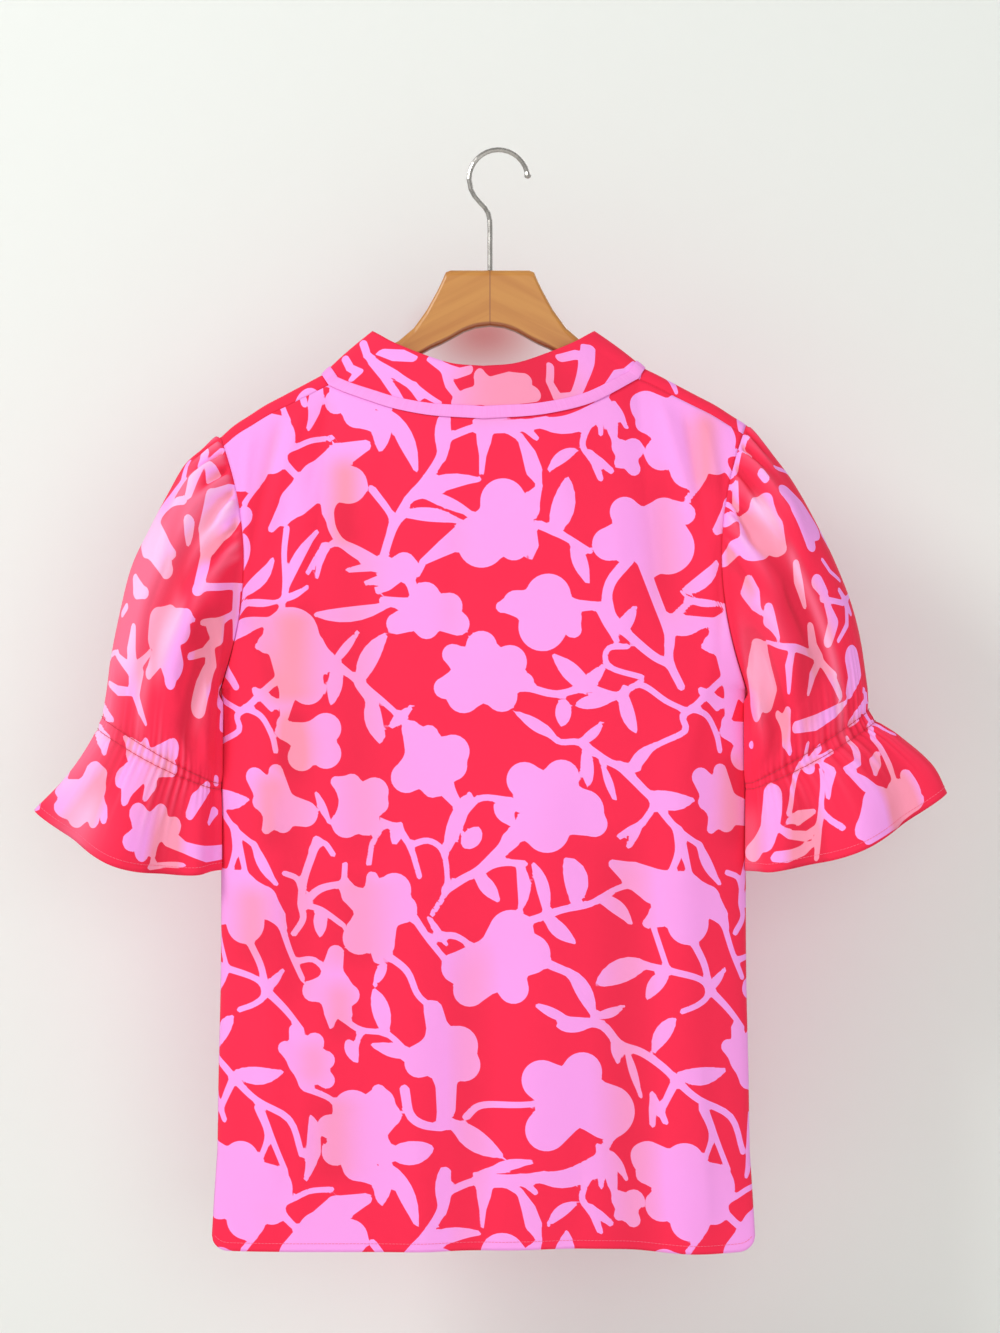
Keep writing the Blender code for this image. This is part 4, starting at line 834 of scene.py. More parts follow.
def puckers(rows, degrees, t):
    # short gathers that start at a seam or at the elastic and die away
    total = np.zeros((len(t), len(degrees)))
    for angle, start, turn, end, width, height in zip(*rows.values()):
        s = ((t - start) / (end - start))[:, None]
        off = ringOffset(degrees[None, :], angle + (turn - angle) * np.clip(s, *puckerLook["turn"]))
        wide = width * (puckerLook["narrow"] + puckerLook["widen"] * np.clip(s, 0, 1))
        along = ease((s + puckerLook["before"]) / puckerLook["rise"]) * ease((1.0 - s) / puckerLook["fall"])
        total += height * along * hump(off, wide, puckerLook["power"])
    return total


def fineGathers(degrees, t, look, seed):
    # each gather has its own place, depth and length; the ring keeps its size
    rng = np.random.default_rng(seed)
    total = np.zeros((len(t), len(degrees)))
    angle = look["start"]
    while angle < look["end"]:
        up, down, height, width = (rng.uniform(*look[name]) for name in ("up", "down", "height", "width"))
        along = hump(t - look["at"], np.where(t < look["at"], up, down), gatherPower["along"])[:, None]
        total += height * along * hump(ringOffset(degrees, angle), width, gatherPower["across"])[None, :]
        angle += rng.uniform(*look["spacing"])
    return total - total.mean(axis=1, keepdims=True)


def sleeveGrid(sign, sleeve, caps, seeds):
    angles = np.arange(cloth["sleeveSteps"]) / cloth["sleeveSteps"] * 2 * math.pi
    degrees = np.degrees(angles)
    c = np.linspace(0.0, 1.0, cloth["sleeveRings"] + 1)
    t = c + sleeveForm["ringEase"] * np.sin(2 * math.pi * c)
    rings = np.array([sleeveRing(sleeve, value, angles) for value in t])
    reach, fade = ((1.0 - np.cos(angles)) / 2.0) ** 3, np.exp(-t / sleeveForm["seamFade"])[:, None]
    hug = sum(depth * hump(degrees - angle, width) for angle, width, depth in sleeveForm["hug"])
    rings[..., 0] += fade * (form["sleeveGap"] + form["sleeveLap"] * reach)
    rings[..., 0] -= ease((t - sleeveForm["hugStart"]) / sleeveForm["hugFade"])[:, None] * hug
    rings[..., 2] += fade * sleeveForm["seamLift"] * reach
    outward = unit((rings - rings.mean(axis=1, keepdims=True)) * sleeveForm["outward"])
    fine = puckers(caps, degrees, t)
    for look, seed in zip((elasticGathers, capGathers), seeds):
        fine += fineGathers(degrees, t, look, seed)
    for row in (-1, 1):
        off = t - elastic["t"] - row * elastic["rowGap"]
        fine -= elastic["pinch"] * hump(off, elastic["pinchWidth"])[:, None]
    calm, soft = (ease((1.0 + np.cos(angles)) / sleeveForm[name]) for name in ("foldCalm", "gatherCalm"))
    fine *= (sleeveForm["innerGathers"] + (1.0 - sleeveForm["innerGathers"]) * soft)
    fine *= ease(t / sleeveForm["gatherStart"])[:, None]
    large = sum(scale * ringLift(rows, degrees, t, entry) for rows, scale, entry in sleeveForm["largeFolds"])
    lift = large * calm + fine
    side = (sign, 1.0, 1.0)
    return (rings + outward * lift[..., None]) * side, rings * side, lift, fine, t, degrees


# Objects

def makeCloth(name, grids, values, material, closed=False, wall=cloth["wall"]):
    points, faces, start = [], [], 0
    for grid in grids:
        index = start + np.arange(grid[..., 0].size).reshape(grid.shape[:2])
        right = np.roll(index, -1, axis=1) if closed else index[:, 1:]
        left = index if closed else index[:, :-1]
        faces += np.stack([left[:-1], right[:-1], right[1:], left[1:]], axis=-1).reshape(-1, 4).tolist()
        points.append(grid.reshape(-1, 3) * mm)
        start += index.size
    mesh = bpy.data.meshes.new(name)
    mesh.from_pydata(np.concatenate(points).tolist(), [], faces)
    store = {key: np.concatenate([np.ravel(value[key]) for value in values]) for key in values[0]}
    flat = np.stack([store.pop("u"), store.pop("v")], axis=-1) * mm
    for key, value in store.items():
        mesh.attributes.new(key, "FLOAT", "POINT").data.foreach_set("value", value.astype(np.float32))
    corners = np.empty(len(mesh.loops), dtype=np.int32)
    mesh.loops.foreach_get("vertex_index", corners)
    mesh.uv_layers.new(name="flatCloth").data.foreach_set("uv", flat[corners].astype(np.float32).ravel())
    shape = bmesh.new()
    shape.from_mesh(mesh)
    bmesh.ops.remove_doubles(shape, verts=shape.verts, dist=0.00001)
    bmesh.ops.recalc_face_normals(shape, faces=shape.faces)
    shape.to_mesh(mesh)
    shape.free()
    mesh.shade_smooth()
    mesh.materials.append(material)
    item = addObject(name, mesh)
    solid = item.modifiers.new("wall", "SOLIDIFY")
    solid.thickness, solid.offset = wall * mm, 0.0
    return item


def addObject(name, data):
    item = bpy.data.objects.new(name, data)
    bpy.context.scene.collection.objects.link(item)
    return item


# Nodes

def linearColour(rgb):
    channels = [c / 255.0 for c in rgb]
    return [c / 12.92 if c <= 0.04045 else ((c + 0.055) / 1.055) ** 2.4 for c in channels] + [1.0]


def setInputs(tree, node, values):
    # the output of another node is linked, and any other value is set
    for key, value in values.items():
        if isinstance(value, bpy.types.NodeSocket):
            tree.links.new(value, node.inputs[key])
        else:
            node.inputs[key].default_value = value


def addNode(tree, kind, values={}, **settings):
    node = tree.nodes.new(kind)
    for key, value in settings.items():
        setattr(node, key, value)
    setInputs(tree, node, values)
    return node.outputs


def addMath(tree, operation, *values, **settings):
    return addNode(tree, "ShaderNodeMath", dict(enumerate(values)), operation=operation, **settings)[0]


def addNoise(tree, place, scale, detail, distortion=0.0):
    values = {"Vector": place, "Scale": scale, "Detail": detail, "Distortion": distortion}
    return addNode(tree, "ShaderNodeTexNoise", values)["Fac"]


def addRange(tree, value, limits, **settings):
    values = dict(zip(("Value", "From Min", "From Max", "To Min", "To Max"), (value, *limits)))
    return addNode(tree, "ShaderNodeMapRange", values, **settings)[0]


def mixColours(tree, share, first, second):
    first, second = (colour if isinstance(colour, bpy.types.NodeSocket) else linearColour(colour)
                     for colour in (first, second))
    return addNode(tree, "ShaderNodeMix", {"Factor": share, 6: first, 7: second}, data_type="RGBA")[2]


def objectPlace(tree):
    return addNode(tree, "ShaderNodeTexCoord")["Object"]


def newGroup(name, kind, inputs, outputs):
    tree = bpy.data.node_groups.new(name, "ShaderNodeTree")
    for way, labels in (("INPUT", inputs), ("OUTPUT", outputs)):
        for label in labels:
            tree.interface.new_socket(name=label, in_out=way, socket_type=kind)
    return tree, tree.nodes.new("NodeGroupInput").outputs, tree.nodes.new("NodeGroupOutput")


def newMaterial(name):
    material = bpy.data.materials.new(name)
    material.use_nodes = True
    return material, material.node_tree, material.node_tree.nodes["Principled BSDF"]


# Cloth, thread, wood and steel

def weaveGroup():
    # fine plain weave with uneven threads, from the flat cloth map
    tree, given, end = newGroup("weave", "NodeSocketFloat", ["Threads per metre"], ["Height", "Slub"])
    flat = addNode(tree, "ShaderNodeUVMap", uv_map="flatCloth")["UV"]
    split = addNode(tree, "ShaderNodeSeparateXYZ", {0: flat})
    waves = [addMath(tree, "SINE", addMath(tree, "MULTIPLY", split[axis], given[0])) for axis in "XY"]
    stretch = addNode(tree, "ShaderNodeMapping", {"Vector": flat, "Scale": clothLook["slubStretch"]})[0]
    slub = addNoise(tree, stretch, scale=1.0, detail=3.0)
    height = addMath(tree, "MULTIPLY_ADD", addMath(tree, "MULTIPLY", *waves), clothLook["threadHeight"], slub)
    setInputs(tree, end, {"Height": height, "Slub": slub})
    return tree


def printGroup():
    # colour of the cloth: ground and motif, each with a painted shade colour for folds and a painted
    # highlight colour for ridges and flanks facing the light
    sides = ("Ground", "Motif")
    labels = [side + state for side in sides for state in ("", " in folds", " in glow")]
    tree, given, end = newGroup("clothPrint", "NodeSocketColor", labels, ["Colour"])
    # the second attribute is the share of painted shade, the third the share of painted highlight; a cloudy
    # noise varies the painted shade at random
    edge, paintedShade, glow = (addNode(tree, "ShaderNodeAttribute", attribute_name=name)["Fac"]
                          for name in ("printEdge", "paintedShade", "glow"))
    soft = printLook["softEdge"]
    mask = addRange(tree, edge, (-soft, soft), interpolation_type="SMOOTHSTEP")
    cloud = addNoise(tree, objectPlace(tree), scale=9.0, detail=2.0)
    cloud = addMath(tree, "MULTIPLY_ADD", cloud, clothLook["cloud"], clothLook["cloudShift"])
    depth = addMath(tree, "ADD", paintedShade, cloud, use_clamp=True)
    tints = [mixColours(tree, glow, mixColours(tree, depth, given[side], given[side + " in folds"]),
                        given[side + " in glow"]) for side in sides]
    setInputs(tree, end, {"Colour": mixColours(tree, mask, *tints)})
    return tree


clothLook = {"roughness": 0.75, "sheen": 0.06, "shine": 0.2, "threadPitch": 0.0006, "threadHeight": 0.5,
             "slubStretch": (900.0, 60.0, 1.0), "bump": 0.25, "bumpDepth": 0.0002, "cloud": 0.22,
             "cloudShift": -0.09}
# the second colour of ground and of motif is painted shade, the third a painted highlight
printColours = {"Ground": (250, 42, 80), "Ground in folds": (230, 38, 72), "Ground in glow": (250, 112, 146),
                "Motif": (251, 163, 243), "Motif in folds": (248, 150, 178), "Motif in glow": (253, 196, 240)}
stripColours = {"dark": (246, 148, 226), "light": (253, 166, 240)}
weave, clothPrint = weaveGroup(), printGroup()


def clothMaterial(name, hasPrint):
    material, tree, shader = newMaterial(name)
    threads = {"Threads per metre": fullTurn / clothLook["threadPitch"]}
    threads = addNode(tree, "ShaderNodeGroup", threads, node_tree=weave)
    bump = {"Strength": clothLook["bump"], "Distance": clothLook["bumpDepth"], "Height": threads["Height"]}
    if hasPrint:
        tints = {label: linearColour(rgb) for label, rgb in printColours.items()}
        colour = addNode(tree, "ShaderNodeGroup", tints, node_tree=clothPrint)["Colour"]
    else:
        colour = mixColours(tree, threads["Slub"], stripColours["dark"], stripColours["light"])
    setInputs(tree, shader, {"Base Color": colour, "Normal": addNode(tree, "ShaderNodeBump", bump)["Normal"],
                             "Roughness": clothLook["roughness"], "Sheen Weight": clothLook["sheen"],
                             "Specular IOR Level": clothLook["shine"]})
    return material


def mottledMaterial(name, look):
    # a colour that wavers between dark and light, and steel's polish with it
    material, tree, shader = newMaterial(name)
    noise = addNoise(tree, objectPlace(tree), look["scale"], look["detail"])
    rough = look["roughness"]
    if look["metallic"]:
        rough = addRange(tree, noise, (0.0, 1.0, *rough))
    setInputs(tree, shader, {"Base Color": mixColours(tree, noise, look["dark"], look["light"]),
                             "Roughness": rough, "Metallic": look["metallic"]})
    return material


def woodMaterial():
    # two boards glued at the stem, their grain falling with the arms, with painted shade along the lower edge
    look = {"light": (198, 136, 62), "dark": (185, 119, 50), "glue": (150, 92, 50), "edge": (136, 62, 34),
            "grainFall": 0.5, "grainStretch": (9.0, 90.0, 130.0), "grainRange": (0.3, 0.62),
            "glueRange": (0.0004, 0.0009, 0.75, 0.0), "underShadeRange": (0.0042, 0.0026, 0.0, 0.8)}
    armReach, levelSpan, levelLow = 0.22, 0.2, -0.3
    lowerEdge = ((0, -147), (12, -148.5), (22, -152), (35, -159.2), (50, -166.3), (71, -179.5), (110, -201.5),
                 (220, -262))    # distance from the stem and height, in millimetres
    material, tree, shader = newMaterial("wood")
    split = addNode(tree, "ShaderNodeSeparateXYZ", {0: objectPlace(tree)})
    side = addMath(tree, "ABSOLUTE", split["X"])
    slope = addMath(tree, "MULTIPLY_ADD", side, look["grainFall"], split["Z"])
    join = addNode(tree, "ShaderNodeCombineXYZ", {"X": split["X"], "Y": split["Y"], "Z": slope})[0]
    stretch = addNode(tree, "ShaderNodeMapping", {"Vector": join, "Scale": look["grainStretch"]})[0]
    grain = addNoise(tree, stretch, scale=1.0, detail=6.0, distortion=0.4)
    colour = mixColours(tree, addRange(tree, grain, look["grainRange"]), look["dark"], look["light"])
    colour = mixColours(tree, addRange(tree, side, look["glueRange"]), colour, look["glue"])
    lower = tree.nodes.new("ShaderNodeFloatCurve")
    setInputs(tree, lower, {"Value": addMath(tree, "MULTIPLY", side, 1 / armReach)})
    curve = lower.mapping.curves[0]
    spots = [(away * mm / armReach, (height * mm - levelLow) / levelSpan) for away, height in lowerEdge]
    curve.points[0].location = spots[0]
    for spot in spots[1:-1]:
        curve.points.new(*spot)
    curve.points[-1].location = spots[-1]
    lower.mapping.update()
    level = addMath(tree, "MULTIPLY_ADD", lower.outputs[0], levelSpan, levelLow)
    above = addMath(tree, "SUBTRACT", split["Z"], level)
    # painted shade on a narrow band just above the lower edge, where the underside turns from the light
    colour = mixColours(tree, addRange(tree, above, look["underShadeRange"]), colour, look["edge"])
    bump = addNode(tree, "ShaderNodeBump", {"Strength": 0.12, "Distance": 0.0003, "Height": grain})["Normal"]
    setInputs(tree, shader, {"Base Color": colour, "Normal": bump, "Roughness": 0.42, "Coat Weight": 0.25,
                             "Coat Roughness": 0.3})
    return material


threadLook = {"scale": 900.0, "detail": 1.0, "roughness": 0.6, "metallic": 0.0}
steelLook = {"scale": 260.0, "detail": 3.0, "roughness": (0.18, 0.34), "metallic": 1.0,
             "light": (196, 194, 190), "dark": (150, 146, 142)}
printed, plain = clothMaterial("printedCloth", True), clothMaterial("plainCloth", False)
redThread = mottledMaterial("redThread", {**threadLook, "light": (226, 52, 84), "dark": (188, 34, 66)})
pinkThread = mottledMaterial("hemThread", {**threadLook, "light": (250, 130, 160), "dark": (236, 92, 130)})
print("materials made")


# Stitches along a path, as Geometry Nodes

def stitchTree():
    tree = bpy.data.node_groups.new("stitches", "GeometryNodeTree")
    inputs = {"Geometry": "Geometry", "Pitch": "Float", "Stitch length": "Float", "Thread radius": "Float",
              "Unevenness": "Float", "Seed": "Int", "Thread": "Material"}
    for label, kind in inputs.items():
        tree.interface.new_socket(name=label, in_out="INPUT", socket_type="NodeSocket" + kind)
    tree.interface.new_socket(name="Geometry", in_out="OUTPUT", socket_type="NodeSocketGeometry")
    given = tree.nodes.new("NodeGroupInput").outputs
    path = addNode(tree, "GeometryNodeMeshToCurve", {"Mesh": given["Geometry"]})[0]
    even = {"Curve": path, "Length": given["Pitch"]}
    even = addNode(tree, "GeometryNodeResampleCurve", even, mode="LENGTH")[0]
    low, high = (addMath(tree, "MULTIPLY", given["Stitch length"], share) for share in (-0.5, 0.5))
    low, high = (addNode(tree, "ShaderNodeCombineXYZ", {"Z": end})[0] for end in (low, high))
    line = addNode(tree, "GeometryNodeCurvePrimitiveLine", {"Start": low, "End": high})[0]
    ring = {"Resolution": 6, "Radius": given["Thread radius"]}
    ring = addNode(tree, "GeometryNodeCurvePrimitiveCircle", ring)[0]
    tube = {"Curve": line, "Profile Curve": ring, "Fill Caps": True}
    tube = addNode(tree, "GeometryNodeCurveToMesh", tube)[0]
    jitter = {"Min": addMath(tree, "MULTIPLY", given["Unevenness"], -1.0), "Max": given["Unevenness"],
              "Seed": given["Seed"]}
    jitter = addNode(tree, "FunctionNodeRandomValue", jitter, data_type="FLOAT_VECTOR")["Value"]
    along = addNode(tree, "GeometryNodeInputTangent")[0]
    along = addNode(tree, "ShaderNodeVectorMath", {0: along, 1: jitter}, operation="ADD")[0]
    turn = addNode(tree, "FunctionNodeAlignRotationToVector", {"Vector": along}, axis="Z")[0]
    place = {"Points": even, "Instance": tube, "Rotation": turn}
    place = addNode(tree, "GeometryNodeInstanceOnPoints", place)[0]
    real = addNode(tree, "GeometryNodeRealizeInstances", {0: place})[0]
    sewn = addNode(tree, "GeometryNodeSetMaterial", {"Geometry": real, "Material": given["Thread"]})[0]
    setInputs(tree, tree.nodes.new("NodeGroupOutput"), {0: sewn})
    return tree


stitches = stitchTree()


def sewLine(name, paths, thread, look, seed):
    points, edges = [], []
    for path in paths:
        first = len(points)
        points += (path * mm).tolist()
        edges += [(first + i, first + i + 1) for i in range(len(path) - 1)]
    mesh = bpy.data.meshes.new(name + "Path")
    mesh.from_pydata(points, edges, [])
    guide = addObject(name + "Path", mesh)
    sewing = guide.modifiers.new("stitches", "NODES")
    sewing.node_group = stitches
    values = {"Pitch": look["pitch"] * mm, "Stitch length": look["length"] * mm,
              "Thread radius": look["radius"] * mm, "Unevenness": look["unevenness"], "Seed": seed,
              "Thread": thread}
    for item in stitches.interface.items_tree:
        if item.in_out == "INPUT" and item.name in values:
            sewing[item.identifier] = values[item.name]
    solid = bpy.data.meshes.new_from_object(guide.evaluated_get(bpy.context.evaluated_depsgraph_get()))
    bpy.data.objects.remove(guide)
    result = addObject(name, solid)
    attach(result, "root")
    return result


# Panels

def hollowOf(lift, scale):
    return np.clip(-lift / scale, 0.0, 1.0)


def panelFlat(grid):
    u = running(stepLength(grid, 1, (0, 1)), 1)
    rise = stepLength(grid, 0, (1, 2)) * np.sign(np.diff(grid[..., 2], axis=0) + 1e-9)
    return u - u[:, half:half + 1], running(rise) + grid[0, :, 2]


# painted shade: the strongest of the shade bands at each place
def paintedShadeBands(grid):
    x, z = grid[..., 0], grid[..., 2]
    total = np.zeros_like(x)
    for middle, top, bottom, width, strength in zip(*backShadeBands.values()):
        along = ease((top - z) / shadeBandEnd) * ease((z - bottom) / shadeBandEnd)
        total = np.maximum(total, strength * along * hump(x - middle, width))
    return total


def printedValues(u, v, paintedShade, shift):
    return {"u": u, "v": v, "paintedShade": paintedShade, "printEdge": flatPrint(u, v, shift)}


def rollValues(roll, sign):
    across = half + sign * np.arange(neckAt, half + 1)
    v = running(stepLength(roll, 0, (1, 2))) + frontV[-1][across]
    u = np.repeat(frontU[-1][across][None, :], len(roll), axis=0)
    return printedValues(u, v, np.zeros(u.shape), panelLook["frontPrint"])


# the last value is the trough depth, in millimetres, that takes full painted shade
panelLook = {"backPrint": (0.0, 0.0), "frontPrint": (168.0, 96.0), "foldShadeDepth": 7.0}
backGrid, backLift = panelGrid(True, backFolds, backCreases)
frontGrid, frontLift = panelGrid(False, frontFolds, frontCreases)
leftRoll, rightRoll = rollGrid(frontGrid[-1], 1), rollGrid(frontGrid[-1], -1)
print("panels shaped")

backU, backV = panelFlat(backGrid)
# painted shade from the back's fold troughs and its upright bands
backShadeShare = np.clip(hollowOf(backLift, panelLook["foldShadeDepth"]) + paintedShadeBands(backGrid), 0, 1)
back = makeCloth("backPanel", [backGrid],
                 [printedValues(backU + form["shift"], backV, backShadeShare, panelLook["backPrint"])], printed)
frontU, frontV = panelFlat(frontGrid)
frontU = form["shift"] - frontU
# painted shade in the front's fold troughs
frontShadeShare = hollowOf(frontLift, panelLook["foldShadeDepth"])
front = makeCloth("frontPanel", [frontGrid, leftRoll, rightRoll],
                  [printedValues(frontU, frontV, frontShadeShare, panelLook["frontPrint"]),
                   rollValues(leftRoll, 1), rollValues(rightRoll, -1)], printed)
print("body panels made")

# Sleeves

# the first two values are the trough depths, in millimetres, that take full painted shade in large folds and
# in gathers
sleeveLook = {"foldShadeDepth": 3.6, "gatherShadeDepth": 2.2, "tintEntry": 0.08, "mirror": (8.0, 30.0)}


def makeSleeve(name, sign, shape, arms, tints, ridgeHighlight):
    # its hidden side carries the same motifs, mirrored and lower
    rings, plainRings, lift, fine, t, degrees = sleeveGrid(sign, *shape)
    ring = plainRings[np.argmin(np.abs(t - 0.5))]    # the one half way down the sleeve
    around = np.linalg.norm(np.roll(ring, -1, axis=0) - ring, axis=-1)
    place = running(around)[:-1]
    u = np.repeat(np.where(degrees <= 180.0, place, place - around.sum())[None, :] * sign, len(t), axis=0)
    along = running(stepLength(plainRings, 0))
    v = np.array([np.interp(elastic["t"], t, column) for column in along.T]) - along
    bands = {key: tints[key] for key in ("angle", "width", "start", "end")}
    fold, shine = (ringLift({**bands, "height": tints[key]}, degrees, t, sleeveLook["tintEntry"])
                   for key in ("fold", "glow"))
    # painted shade in folds, gathers and bands; painted highlight on gather ridges and lit bands
    paintedShade = hollowOf(lift, sleeveLook["foldShadeDepth"]) + fold + hollowOf(fine, sleeveLook["gatherShadeDepth"])
    across, down = sleeveLook["mirror"]
    hidden = [[(-across * sign - x, z - down, r) for x, z, r in spots] for spots in arms]
    values = {"u": u, "v": v, "paintedShade": np.clip(paintedShade, 0, 1),
              "glow": np.clip(shine + hollowOf(-fine, ridgeHighlight), 0, 1),
              "printEdge": armPrint(u, v, arms + hidden, printLook["noRepeat"])}
    return makeCloth(name, [rings], [values], printed, closed=True), rings, t


leftLook = {"shape": (leftSleeve, leftPuckers, (11, 13)), "arms": leftMotifs, "tints": leftLightBands,
            "ridgeHighlight": 4.5}
rightLook = {"shape": (rightSleeve, rightPuckers, (12, 14)), "arms": rightMotifs, "tints": rightLightBands,
             "ridgeHighlight": 9.0}
leftPiece, leftRings, sleeveT = makeSleeve("leftSleeve", 1.0, **leftLook)
rightPiece, rightRings, sleeveT = makeSleeve("rightSleeve", -1.0, **rightLook)
print("sleeves made")

# Collar and neck strip

collarLook = {"repeat": 320.0, "middleShade": 0.85, "middle": 28.0, "middleShadeHalf": 62.0, "wall": 1.0}
stripLook = {"rows": (-0.9, -0.5, 0.8, 2.4, 4.3, 6.2, 7.9, 9.1, 9.5), "stand": 1.0, "bulge": 0.55,
             "roundness": 0.6, "wall": 0.8}
loop = neckLoop(backGrid, frontGrid, leftRoll, rightRoll)
collarPoints = collarGrid(loop)
collarU = running(stepLength(loop, 0))
collarU = np.repeat((collarU - collarU[-1] / 2)[None, :], len(collarPoints), axis=0)
collarV = running(stepLength(collarPoints, 0))
# painted shade across the middle of the collar
collarShadeShare = collarLook["middleShade"] * hump(collarU - collarLook["middle"], collarLook["middleShadeHalf"], 4)
collar = makeCloth("collarBand", [collarPoints],
                   [{"u": -collarU, "v": collarV, "paintedShade": collarShadeShare,
                     "printEdge": armPrint(-collarU, collarV, collarMotifs, collarLook["repeat"])}],
                   printed, wall=collarLook["wall"])
stripPoints = stripGrid(collarPoints)
stripU = np.repeat(collarU[:1], len(stripPoints), axis=0)
stripV = np.linspace(0, stripLook["rows"][-1], len(stripPoints))[:, None] * np.ones_like(stripU)
strip = makeCloth("neckStrip", [stripPoints], [{"u": stripU, "v": stripV}], plain, wall=stripLook["wall"])
print("collar made")

# Sewing

sewing = {"pitch": 3.0, "length": 2.3, "radius": 0.2, "unevenness": 0.06, "hemHeight": 7.0,
          "ruffleHeight": 6.5, "endColumns": 3, "lift": 0.12}
elasticSewing = {"pitch": 2.6, "length": 2.3, "radius": 0.32, "unevenness": 0.12, "lift": 0.2}


def hemPath(grid, facing):
    normals = unit(np.cross(np.gradient(grid, axis=0), np.gradient(grid, axis=1)))
    path, ends = [], sewing["endColumns"]
    for column in range(ends, grid.shape[1] - ends):
        row = np.interp(sewing["hemHeight"], running(stepLength(grid[:, column], 0)), np.arange(len(grid)))
        low, part = int(row), row - int(row)
        point = grid[low, column] * (1 - part) + grid[low + 1, column] * part
        normal = normals[low, column] * facing * np.sign(normals[low, column][1])
        path.append(point + normal * (cloth["wall"] / 2 + sewing["lift"]))
    return np.array(path)


def ringPath(rings, t, at, lift):
    row = np.interp(at, t, np.arange(len(t)))
    low = min(int(row), len(t) - 2)
    closedRings = np.concatenate([rings, rings[:, :1]], axis=1)
    points = closedRings[low] * (1 - row + low) + closedRings[low + 1] * (row - low)
    normal = unit(np.cross(closedRings[low + 1] - closedRings[low], np.gradient(points, axis=0)))
    facing = np.sign(np.sum((points - points[:-1].mean(axis=0)) * normal, axis=-1))
    return points + normal * facing[:, None] * (cloth["wall"] / 2 + lift)


def rufflePath(rings, t):
    length = np.linalg.norm(rings[-1] - rings[-2], axis=-1).mean()
    return ringPath(rings, t, t[-1] - sewing["ruffleHeight"] / length * (t[-1] - t[-2]), sewing["lift"])


sewn = [("backHemStitches", [hemPath(backGrid, 1.0)], pinkThread, sewing, 20, back),
        ("frontHemStitches", [hemPath(frontGrid, -1.0)], pinkThread, sewing, 21, front),
        ("leftRuffleStitches", [rufflePath(leftRings, sleeveT)], pinkThread, sewing, 22, leftPiece),
        ("rightRuffleStitches", [rufflePath(rightRings, sleeveT)], pinkThread, sewing, 23, rightPiece)]
for name, rings, seed, carrier in (("leftElasticStitches", leftRings, 30, leftPiece),
                                   ("rightElasticStitches", rightRings, 31, rightPiece)):
    paths = [ringPath(rings, sleeveT, elastic["t"] + row * elastic["rowGap"], elasticSewing["lift"])
             for row in (-1, 1)]
    sewn.append((name, paths, redThread, elasticSewing, seed, carrier))
withPieces = {item.name: [] for item in (back, front, leftPiece, rightPiece, collar, strip)}
for *line, carrier in sewn:
    withPieces[carrier.name].append(sewLine(*line))
print("stitches sewn")

# Hanger and hook

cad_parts["hanger"].data.materials[0] = woodMaterial()
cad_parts["hook"].data.materials[0] = mottledMaterial("steel", steelLook)
print("hanger and hook coloured")

# What each piece stands for, and the cut of its cloth

cuts = (
    (back, "back", "printed_cloth", (0.50, 0.78), "hung", ["hanger"], 0.33),
    (front, "front", "printed_cloth", (0.50, 0.78), "hung", ["hanger"], 0.33),
    (leftPiece, "sleeve_left", "printed_cloth", (0.46, 0.42), "gathered", ["front", "back"], 0.125),
    (rightPiece, "sleeve_right", "printed_cloth", (0.46, 0.42), "gathered", ["front", "back"], 0.125),
    (collar, "collar", "printed_cloth", (0.66, 0.08), "hung", ["back", "front"], 0.028),
    (strip, "neck_binding", "plain_cloth", (0.66, 0.0100), "hung", ["collar"], 0.0048),
)
for item, node, slotName, flat, held, restsOn, area in cuts:
    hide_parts(node)
    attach(item, "root")
for item, node, slotName, flat, held, restsOn, area in cuts:
    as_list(restsOn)

# Stage, light and camera

wallY, floorZ, wallTop, wallHalf, floorHalf = -0.20, -1.10, 1.6, 3.5, 4.0
stage = {"wall": (234, 239, 236), "shade": (204, 146, 143), "shadeAt": (0.006, wallY, -0.128),
         "shadeSize": (0.085, 0.2, 0.055), "floor": (240, 239, 235), "floorRoughness": 0.9,
         "air": (250, 249, 246), "airStrength": 0.58}
lights = {    # place, what it points at, width, power and colour
    "key": ((2.4, 1.9, 1.3), (0.0, 0.0, -0.5), 1.1, 51.0, (1.0, 0.99, 0.97)),
    "fill": ((-0.6, 2.8, -0.4), (0.0, 0.0, -0.5), 2.2, 20.0, (1.0, 1.0, 1.0)),
    "front": ((-0.8, -2.6, 0.8), (0.0, 0.0, -0.5), 1.8, 18.0, (1.0, 1.0, 1.0)),
}
view = {"place": (-0.0085, 2.2, -0.4361), "turn": (90.0, 0.0, 180.0), "pictureHeight": 1.13305,
        "sensor": 36.0}


def stagePlane(name, corners, material):
    mesh = bpy.data.meshes.new(name)
    mesh.from_pydata(corners, [], [(0, 1, 2, 3)])
    mesh.materials.append(material)
    item = addObject(name, mesh)


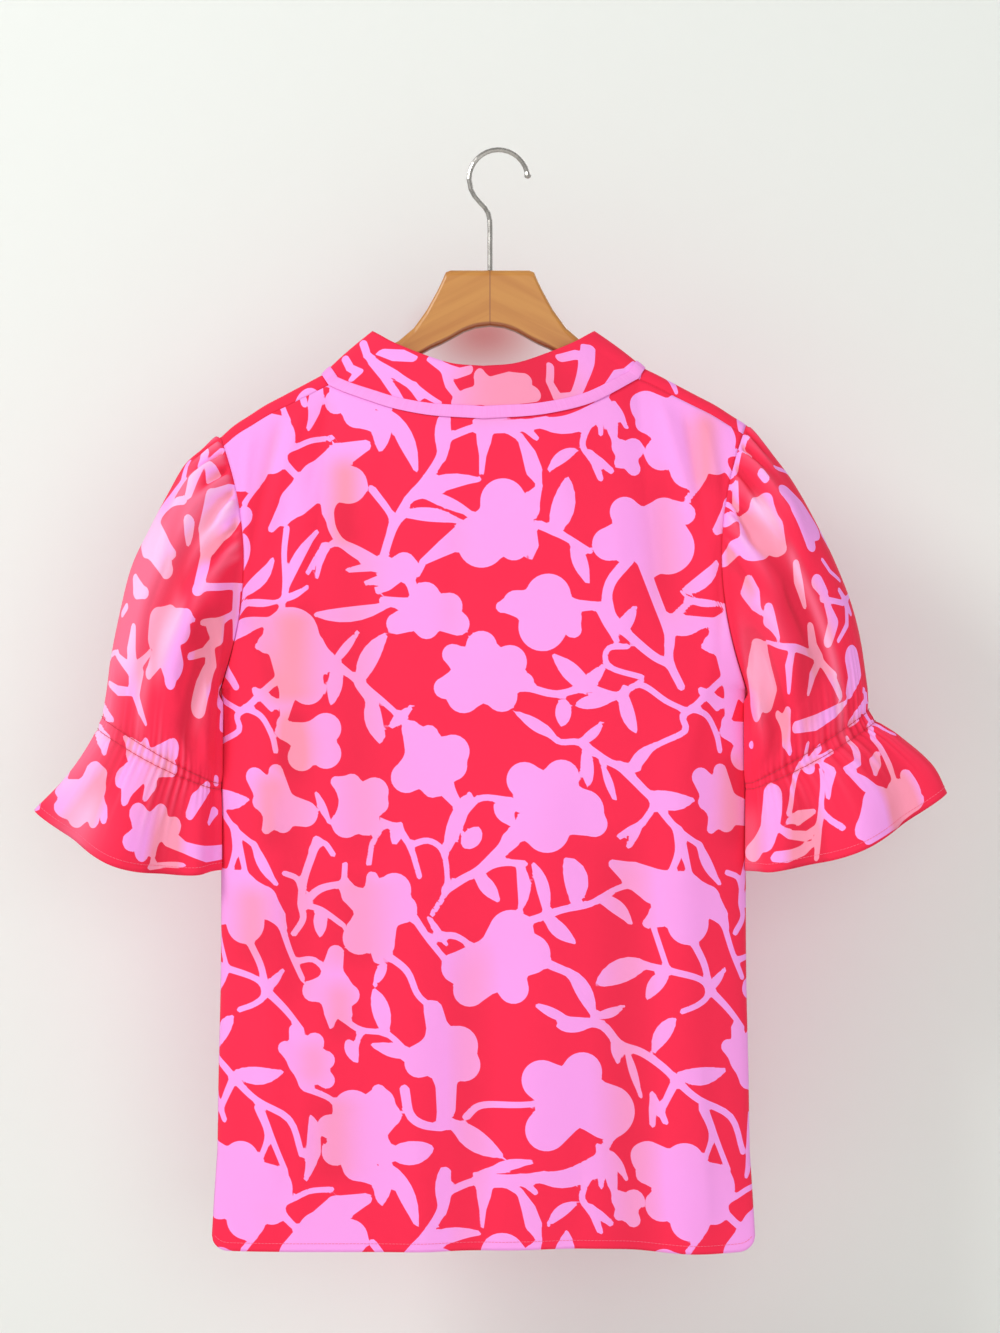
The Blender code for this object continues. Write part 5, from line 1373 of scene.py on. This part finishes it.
def wallMaterial():
    # seen only from the front, so that views from behind the wall stay clear
    material, tree, shader = newMaterial("wall")
    tree.nodes.remove(shader)
    near = {"Vector": objectPlace(tree), "Scale": [1 / size for size in stage["shadeSize"]],
            "Location": [-at / size for at, size in zip(stage["shadeAt"], stage["shadeSize"])]}
    near = {"Vector": addNode(tree, "ShaderNodeMapping", near)[0]}
    fading = addNode(tree, "ShaderNodeTexGradient", near, gradient_type="SPHERICAL")["Fac"]
    soft = addRange(tree, fading, (), interpolation_type="SMOOTHSTEP")    # shade behind the hanger's arch
    colour = mixColours(tree, soft, stage["wall"], stage["shade"])
    paint = addNode(tree, "ShaderNodeBsdfDiffuse", {"Color": colour})[0]
    inFront = addMath(tree, "SUBTRACT", 1.0, addNode(tree, "ShaderNodeNewGeometry")["Backfacing"])
    seen = addMath(tree, "MULTIPLY", addNode(tree, "ShaderNodeLightPath")["Is Camera Ray"], inFront)
    clear = addNode(tree, "ShaderNodeBsdfTransparent")[0]
    wall = addNode(tree, "ShaderNodeMixShader", {"Fac": seen, 1: clear, 2: paint})[0]
    setInputs(tree, tree.nodes["Material Output"], {"Surface": wall})
    return material


floorMaterial, floorTree, floorShader = newMaterial("floor")
setInputs(floorTree, floorShader, {"Base Color": linearColour(stage["floor"]),
                                   "Roughness": stage["floorRoughness"]})
wallCorners = ((1, floorZ), (-1, floorZ), (-1, wallTop), (1, wallTop))
stagePlane("wall", [(x * wallHalf, wallY, z) for x, z in wallCorners], wallMaterial())
stagePlane("floor", [(x * floorHalf, y * floorHalf, floorZ) for x, y in ((-1, -1), (1, -1), (1, 1), (-1, 1))],
           floorMaterial)

world = bpy.data.worlds.new("studio")
world.use_nodes = True
setInputs(world.node_tree, world.node_tree.nodes["Background"],
          {"Color": linearColour(stage["air"]), "Strength": stage["airStrength"]})
bpy.context.scene.world = world

for name, (place, target, size, power, colour) in lights.items():
    data = bpy.data.lights.new(name, "AREA")
    data.shape, data.size, data.energy, data.color = "DISK", size, power, colour
    x, y, z = unit(np.array(target) - np.array(place))
    light = addObject(name, data)
    light.location = place
    light.rotation_euler = (math.acos(-z), 0.0, math.atan2(y, x) - math.pi / 2)

camera = bpy.data.cameras.new("camera")
camera.sensor_fit, camera.sensor_height = "VERTICAL", view["sensor"]
camera.lens = view["sensor"] * view["place"][1] / view["pictureHeight"]
eye = addObject("camera", camera)
eye.location = view["place"]
eye.rotation_euler = [math.radians(angle) for angle in view["turn"]]
bpy.context.scene.camera = eye
bpy.context.scene.view_settings.view_transform = "Standard"
print("stage, lights and camera placed")
